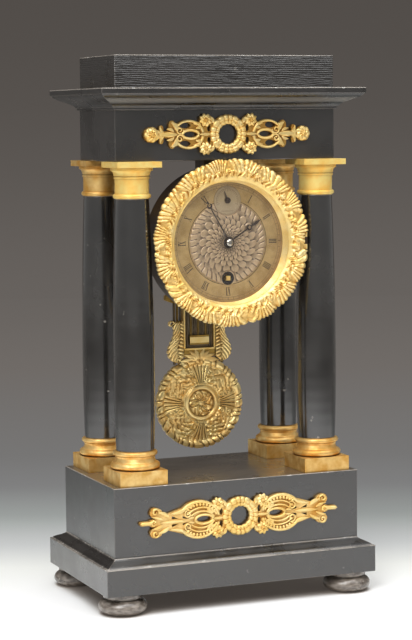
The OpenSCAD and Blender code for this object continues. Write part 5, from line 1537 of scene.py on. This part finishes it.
@dataclass
class Pendulum:
    """The pendulum: grid, leafy wings and an embossed bob.

    Attributes:
        y: Y of the pendulum's middle.
        bob_r: radius of the bob.
        front: Y of the bob's front at its middle.
        rim: half the thickness of its rim.
        rays: fluted groups on the bob.
        scallops: lobes of its rim.
        window: half the width of the grid's frame, and its lower and upper edge above the bob's middle.
    """

    y: float = 25.0
    bob_r: float = 41.8
    front: float = 18.0
    rim: float = 2.0
    rays: int = 4
    scallops: int = 40
    window: tuple[float, float, float] = (14.6, 49.4, 91.6)

    def bob(self, z: float) -> Sheet:
        """The bob as one turned surface whose front height changes with radius and turn.

        The front is a dome with a trough and a raised border. On it stand a rosette of curling petals in
        a dish, a raised beaded ring, four groups of flutes, a veined leaf with volutes and fruit in
        each quarter, and slanting lumps round the border. The back is a plain dome.

        Args:
            z: height of its middle.

        Returns:
            The closed sheet.
        """
        a = around(768)[None]
        t = np.concatenate([np.linspace(0, 0.985, 86), [1.0]])[:, None]
        r = self.bob_r * t
        high = self.y - self.front - self.rim
        # A dome that falls to a trough at four fifths of the radius, and a raised border outside it
        base = high * np.clip(1 - (t / 0.8) ** 2, 0, 1) + 2.0 * bell(t, 0.91, 0.075)
        # Middle: petals that curl round a knob, in a dish inside the raised ring
        curl = 11 * a / TURN + 0.10 * r + 0.25 * np.sin(3 * a + 0.5 * r)
        petals = round_ridge(curl) * (0.55 + 0.45 * np.sin(0.95 * r + 2 * np.sin(5 * a)))
        inner = 1 - step(r, 11.2, 12.2)
        knob = 2.0 * np.clip(1 - (r / 2.6) ** 2, 0, 1) ** 0.5
        rise = inner * (2.4 * petals * step(r, 1.5, 3.0) - 2.2) + knob
        beads = 0.35 * ridge(44 * a / TURN) * bell(r, 16.8, 0.7)
        rise = rise + 1.8 * np.exp(-((r - 14.4) / 1.9) ** 4) + beads
        # Rays: flutes that spread at the top, the sides and the bottom
        group = np.mod(self.rays * a / TURN + 0.5, 1.0) - 0.5
        spread = group / (0.10 + 0.0045 * (r - 16.0))
        in_ray = (1 - step(np.abs(spread), 0.9, 1.05)) * step(r, 16.6, 18.0) * (1 - step(r, 33.0, 36.5))
        flutes = round_ridge(2.5 * spread + 0.5)
        # Sprays: one veined leaf in each quarter, with a volute on either side and small fruit
        quarter = np.abs(np.mod(self.rays * a / TURN, 1.0) - 0.5)
        side = quarter / 0.25
        in_leaf = (1 - step(side, 0.85, 1.1)) * step(r, 17.5, 20.0) * (1 - step(r, 34.5, 36.0))
        sway = 0.2 * np.sin(5 * a + 0.21 * r) + 0.1 * np.sin(13 * a - 0.4 * r)
        veins = round_ridge(0.21 * (r - 18.0) + 1.1 * side + sway)
        rib = 0.6 * bell(side, 0.0, 0.13)
        arc = TURN * r / self.rays
        first = np.hypot(r - 21.6, (quarter - 0.27) * arc)
        second = np.hypot(r - 29.0, (quarter - 0.30) * arc)
        curls = sum(bell(d, 2.3, 0.75) + bell(d, 0.0, 0.9) for d in (first, second))
        fruit = np.clip(np.sin(26 * a + 0.3 * r) * np.sin(1.05 * r + 2 * np.sin(8 * a)), 0, 1) ** 0.7
        spray = in_leaf * (1.9 * veins - rib) + 1.4 * curls + 0.9 * fruit * step(r, 17.5, 19.0)
        relief = in_ray * (1.9 * flutes - 0.5) + (1 - in_ray) * spray
        relief = relief * (1 - step(r, 34.6, 36.6))
        # Border: slanting lumps like a twisted leaf, and a rim that follows them
        slant = 0.05 * (r - 36.0) + 0.25 * np.sin(7 * a) + 0.2 * np.sin(17 * a)
        lobe = round_ridge(self.scallops * a / TURN + slant)
        border = step(r, 34.6, 36.4)
        relief = relief + border * (1.6 * lobe - 0.6)
        shade = 0.8 * step(0.55 - relief, 0.0, 0.9) * step(r, 17.0, 18.4) + inner * 0.2 * (1 - petals)
        shade = np.maximum(shade, 0.8 * bell(r, 12.0, 0.6))
        radius = r * (1 - 0.035 * (1 - lobe) * step(r, 36.0, self.bob_r))
        face = turned(radius, self.y - self.rim - base - 0.85 * (rise + relief), a, 0.0, z)
        back_t = np.array([1.0, 0.9, 0.6, 0.3, 0.0])[:, None]
        back_r = back_t * radius[-1:]
        back = turned(back_r, self.y + self.rim + high * (1 - back_t ** 2), a, 0.0, z)
        return Sheet(np.concatenate([face, back]), painted_shade=shade)

    def wing(self, low: np.ndarray, high: np.ndarray) -> Sheet:
        """The right wing: a leaf of drooping feathers on a swelling outline, with scales along its stem.

        Along the leaf s, its outer edge follows 0.8 + 0.2 cos(2 pi (s - 0.27) / 0.95) of the width, and
        across it t, the section is a flat crown with ridges of 9 s + 2 t, which also notch the edge.

        Args:
            low: lowest corner of the CAD wings.
            high: highest corner of the CAD wings.

        Returns:
            The closed sheet.
        """
        rows, cols = 170, 48
        s = np.linspace(0.004, 0.996, rows)[:, None]
        b = around(cols)[None]
        inner, outer = 15.6, high[0]
        t = np.cos(b)
        out = np.sqrt(np.clip(1 - t ** 2, 0, 1))
        feathers = round_ridge(9 * s + 2.0 * t)
        scales = round_ridge(12 * s - 0.8 * t)
        veins = np.where(t < -0.3, scales, feathers)
        closing = np.clip(1 - np.abs(2 * s - 1) ** 9, 0, 1) ** 0.5
        reach = (0.80 + 0.20 * np.cos(TURN * (s - 0.27) / 0.95)) * closing
        start = 0.3 * (1 - step(s, 0.0, 0.16))
        reach = np.maximum(reach * (1 - 0.10 * (1 - feathers) * step(t, 0.5, 1.0)), start + 0.06)
        x = inner + (outer - inner) * (start + (reach - start) * (t + 1) / 2)
        y_back = high[1]
        groove = bell(t, -0.3, 0.1)
        crown = out ** 0.5 * (1.4 + 1.6 * veins - 0.8 * groove) * np.minimum(1.0, 0.3 + closing)
        y = np.where(np.sin(b) > 0.01, y_back - 1.2 - np.maximum(crown, 0.0), y_back)
        shade = np.where(np.sin(b) > 0.01, 0.35 * (1 - veins) + 0.25 * groove, 0.0)
        points = np.stack(np.broadcast_arrays(x, y, low[2] + s * (high[2] - low[2])), -1)
        ends = np.stack([np.broadcast_to(points[k].mean(axis=0), (cols, 3)) for k in (0, -1)])
        return Sheet(np.concatenate([ends[:1], points, ends[1:]]), painted_shade=np.concatenate([shade[:1], shade]))

    def build(self) -> None:
        """The bob, the wings, the leaves over the bob, the grid's frame and a sheet of painted shade behind
        its rods.
        """
        z = middle_height("pendulum_bob")
        body, slot = "pendulum_group", "gilt_pendulum"
        piece("pendulum_bob_embossed", [self.bob(z)], PENDULUM_GILT, body, ("pendulum_bob",))
        low, high = corners("pendulum_wings")
        wing = self.wing(low, high)
        curl = scroll(high[0] - 4.2, high[2] - 3.0, high[1] - 1.0, 3.4, 0.6, 250, -1.3, 1.0, 2.4)
        wings = [wing, wing.mirrored(x=True), curl, curl.mirrored(x=True)]
        piece("pendulum_wing_leaves", wings, PENDULUM_GILT, body, ("pendulum_wings",))
        front = self.y - 2.3
        crown: list[Sheet] = [rosette(0.0, z + 38.5, front, 4.4, 2.6, 6)]
        for tip_x, tip_z, bow in ((10.0, 47.4, 1.2), (15.5, 44.0, 1.6), (19.5, 38.0, 1.8), (4.6, 49.6, 0.6)):
            shape = leaf((1.6, z + 37.0), (tip_x, z + tip_z), bow, 2.8, 2.4, front)
            crown += [shape, shape.mirrored(x=True)]
        piece("pendulum_crown_leaves", crown, PENDULUM_GILT, body)
        half = self.window[0]
        bottom, top = (z + end for end in self.window[1:])
        bars = [stroke((-half, bottom), (half, bottom), 0.7)]
        bars += [stroke((side, bottom), (side, top), 0.7) for side in (-half, half)]
        frame_bars = [prism(bar, self.y + 1.0, self.y - 3.4) for bar in bars]
        piece("pendulum_window_frame", frame_bars, GILT, body)
        block = corners("pendulum_frame")[0][1]
        plate = prism(rectangle(-9.3, 9.3, bottom + 5.4, bottom + 10.8), block + 0.1, block - 0.4)
        piece("pendulum_block_face", [plate], PALE_GILT, body)
        # Painted shade: a sheet behind the rods that tones the gaps between them
        shade_sheet = prism(rectangle(-half, half, bottom, top), self.y - 0.1, self.y - 0.25)
        piece("pendulum_window_painted_shade", [shade_sheet], PAINTED_SHADE_BOARD, body)
        SHADED_GILT.dress("pendulum_frame")
        PENDULUM_GILT.dress("pendulum_wings", "pendulum_bob")
        RODS.dress("gridiron_rods")


@dataclass
class Studio:
    """Floor and backdrop in one sweep of paper, soft lamps and the camera.

    Attributes:
        yaw: the camera's turn about Z, in degrees.
        tilt: how far it looks down.
        roll: its turn about its own axis.
        place: where it stands, in millimetres.
        focal: its focal length in pixels of the photograph.
        tall: height of the photograph in pixels.
        sensor: size of the camera's sensor, in millimetres.
        wall: distance of the paper's upright part behind the clock, in millimetres.
        bend: radius of the round between floor and wall.
        front: where the paper ends in front of the clock.
        side: where it ends to the left and right.
        high: where it ends above.
        tones: tone of the paper by distance behind the clock, in millimetres along the camera's way.
        pool: distance to the side or front at which the paper begins and ends to darken, in millimetres.
        far_tone: tone of the paper beyond that.
        glow: share of the tone that the paper shows by itself, by the same distance.
        wall_tones: tone of the paper's upright part by height, in millimetres.
        under_slab: tone of the paper where the clock covers its sky.
        lamps: name, place and side in metres, and power in watts of each soft box.
        aim: where the soft boxes look, in metres.
        surround: colour and strength of the even light all round.
    """

    yaw: float = 22.358
    tilt: float = 5.641
    roll: float = 0.533
    place: tuple[float, float, float] = (-687.037, -1664.494, 420.511)
    focal: float = 2020.508
    tall: int = 640
    sensor: float = 36.0
    wall: float = 3300.0
    bend: float = 300.0
    front: float = -3400.0
    side: float = 3500.0
    high: float = 5000.0
    tones: tuple[tuple[float, str], ...] = (
        (-40.0, "#fdfdfd"), (80.0, "#eeefeb"), (180.0, "#c6c8c8"), (333.0, "#989c9a"), (510.0, "#7f7f7f"),
        (720.0, "#777675"), (1620.0, "#726d69"), (2500.0, "#6d6864"), (3300.0, "#6a6561"))
    pool: tuple[float, float] = (780.0, 1130.0)
    far_tone: str = "#7d7975"
    glow: tuple[tuple[float, float], ...] = ((-40.0, 0.1), (180.0, 0.25), (510.0, 0.8), (1620.0, 0.9))
    wall_tones: tuple[tuple[float, str], ...] = (
        (0.0, "#6a6561"), (107.0, "#66615d"), (410.0, "#5a5551"), (708.0, "#544f4b"), (5000.0, "#4c4743"))
    under_slab: str = "#a89d94"
    lamps: tuple[tuple[str, tuple[float, float, float], float, float], ...] = (
        ("key_soft_box", (-1.3, -1.5, 1.9), 1.2, 34.0), ("fill_soft_box", (1.4, -1.4, 1.8), 1.2, 6.0),
        ("top_soft_box", (0.0, -0.25, 1.7), 1.6, 26.0))
    aim: tuple[float, float, float] = (0.0, 0.0, 0.25)
    surround: tuple[str, float] = ("#b5b4b2", 0.8)

    def toned(self, places: np.ndarray, table: tuple[tuple[float, str], ...]) -> np.ndarray:
        """Linear colours at places along a table of tones, evenly blended between its rows.

        Args:
            places: distances or heights, in millimetres.
            table: such a distance or height and a tone in each row.

        Returns:
            Places by one by four.
        """
        marks = [mark for mark, _ in table]
        stops = np.array([srgb(code) for _, code in table])
        return np.stack([np.interp(places, marks, stops[:, k]) for k in range(4)], -1)[:, None]

    def paper(self) -> None:
        """The sweep: floor, a quarter round and an upright part, with its tone held in an attribute."""
        floor_end = self.wall - self.bend
        # Rows 30 mm apart in front of the clock and about 26 mm behind it
        flat = np.concatenate([np.linspace(self.front, -100, 111), np.linspace(-70, floor_end, 120)])
        curve = np.linspace(0, np.pi / 2, 24)[1:]
        up = np.linspace(self.bend, self.high, 30)[1:]
        depth = np.concatenate([flat, floor_end + self.bend * np.sin(curve), np.full(len(up), self.wall)])
        height = np.concatenate([np.zeros(len(flat)), self.bend - self.bend * np.cos(curve), up])
        turn = math.radians(self.yaw)
        d, x = depth[:, None], np.linspace(-self.side, self.side, 211)[None]
        points = np.stack(np.broadcast_arrays(x * math.cos(turn) + d * math.sin(turn),
                                              d * math.cos(turn) - x * math.sin(turn), height[:, None]), -1)
        mesh = bpy.data.meshes.new("paper_sweep")
        quads = Sheet(points, round_cols=False).quads(0)[:, ::-1]
        mesh.from_pydata(points.reshape(-1, 3) * MM, [], quads)
        mesh.shade_smooth()
        begin, end = self.pool
        away = np.clip((np.hypot(np.minimum(d, 0), x) - begin) / (end - begin), 0, 1)[..., None]
        floor_tone = self.toned(depth, self.tones) * (1 - away) + np.array(srgb(self.far_tone)) * away
        wall_tone = self.toned(height, self.wall_tones)
        tone = np.where((height > 0)[:, None, None], wall_tone, floor_tone)
        tone[..., 3] = np.interp(depth, *np.array(self.glow).T)[:, None]
        tint = mesh.attributes.new("tone", "FLOAT_COLOR", "POINT")
        tint.data.foreach_set("color", tone.ravel())
        obj = bpy.data.objects.new("paper_sweep", mesh)
        bpy.context.scene.collection.objects.link(obj)
        mesh.materials.append(self.paper_material())

    def paper_material(self) -> bpy.types.Material:
        """Matt paper that keeps the clock's shadow, and further back shows its tone by itself.

        Returns:
            The material.
        """
        made = bpy.data.materials.new("studio_paper")
        made.use_nodes = True
        tree = made.node_tree
        tree.nodes.clear()
        held = add(tree, "ShaderNodeAttribute", attribute_name="tone")
        # The tone shows by itself to the camera and in mirrored or refracted rays, not in the light it sends
        ray = add(tree, "ShaderNodeLightPath")
        seen = ray.outputs["Is Camera Ray"]
        for kind in ("Is Glossy Ray", "Is Transmission Ray"):
            seen = add(tree, "ShaderNodeMath", {0: seen, 1: ray.outputs[kind]}, operation="MAXIMUM")
        share = add(tree, "ShaderNodeMath", {0: seen, 1: held.outputs["Alpha"]}, operation="MULTIPLY")
        # Little light comes under the slab: the paper is darker where most of its sky is covered
        sky = add(tree, "ShaderNodeAmbientOcclusion", {"Distance": 40 * MM}, samples=16).outputs["AO"]
        clear = add(tree, "ShaderNodeMapRange", {"Value": sky, "From Min": 0.3, "From Max": 0.6})
        lit = add(tree, "ShaderNodeMix", {0: clear, 6: srgb(self.under_slab), 7: held.outputs["Color"]},
                  data_type="RGBA")
        matt = add(tree, "ShaderNodeBsdfDiffuse", {"Color": lit})
        glow = add(tree, "ShaderNodeEmission", {"Color": lit, "Strength": 1.0})
        both = add(tree, "ShaderNodeMixShader", {0: share, 1: matt, 2: glow})
        add(tree, "ShaderNodeOutputMaterial", {"Surface": both})
        return made

    def lamp(self, name: str, place: tuple[float, float, float], side: float, power: float) -> None:
        """A square soft box that looks at the clock.

        Args:
            name: the lamp's name.
            place: where it stands, in metres.
            side: its side, in metres.
            power: its power in watts.
        """
        light = bpy.data.lights.new(name, "AREA")
        light.size = side
        light.energy = power
        obj = bpy.data.objects.new(name, light)
        obj.location = place
        obj.rotation_euler = (Vector(self.aim) - Vector(place)).to_track_quat("-Z", "Y").to_euler()
        bpy.context.scene.collection.objects.link(obj)

    def camera(self) -> None:
        """The camera at the photograph's place, turned by yaw, tilt and roll."""
        yaw, tilt, roll = (math.radians(v) for v in (self.yaw, self.tilt, self.roll))
        ahead = Vector((math.sin(yaw) * math.cos(tilt), math.cos(yaw) * math.cos(tilt), -math.sin(tilt)))
        right = Vector((math.cos(yaw), -math.sin(yaw), 0.0))
        up = right.cross(ahead)
        axis_x = right * math.cos(roll) - up * math.sin(roll)
        axis_y = right * math.sin(roll) + up * math.cos(roll)
        data = bpy.data.cameras.new("photo_camera")
        data.sensor_width = self.sensor
        data.lens = self.focal * self.sensor / self.tall
        obj = bpy.data.objects.new("photo_camera", data)
        turn = Matrix((axis_x, axis_y, -ahead)).transposed().to_4x4()
        obj.matrix_world = Matrix.Translation(Vector(self.place) * MM) @ turn
        bpy.context.scene.collection.objects.link(obj)
        bpy.context.scene.camera = obj

    def build(self) -> None:
        """Sets up the sweep, the lamps, the even grey surround and the camera."""
        self.paper()
        for lamp in self.lamps:
            self.lamp(*lamp)
        world = bpy.data.worlds.new("studio_surround")
        world.use_nodes = True
        back = world.node_tree.nodes["Background"]
        colour, strength = self.surround
        wire(world.node_tree, back, {"Color": srgb(colour), "Strength": strength})
        bpy.context.scene.world = world
        bpy.context.scene.view_settings.view_transform = "Standard"
        self.camera()


def main() -> None:
    """Builds the parts in order, then the studio; pieces and finishes log their faces and nodes."""
    logging.basicConfig(level=logging.INFO, format="%(name)s: %(message)s")
    Case().dress()
    FriezeMount().build()
    PlinthMount().build()
    Bezel().build()
    Dial().build()
    Movement().dress()
    Pendulum().build()
    Studio().build()


if __name__ == "__main__":
    main()
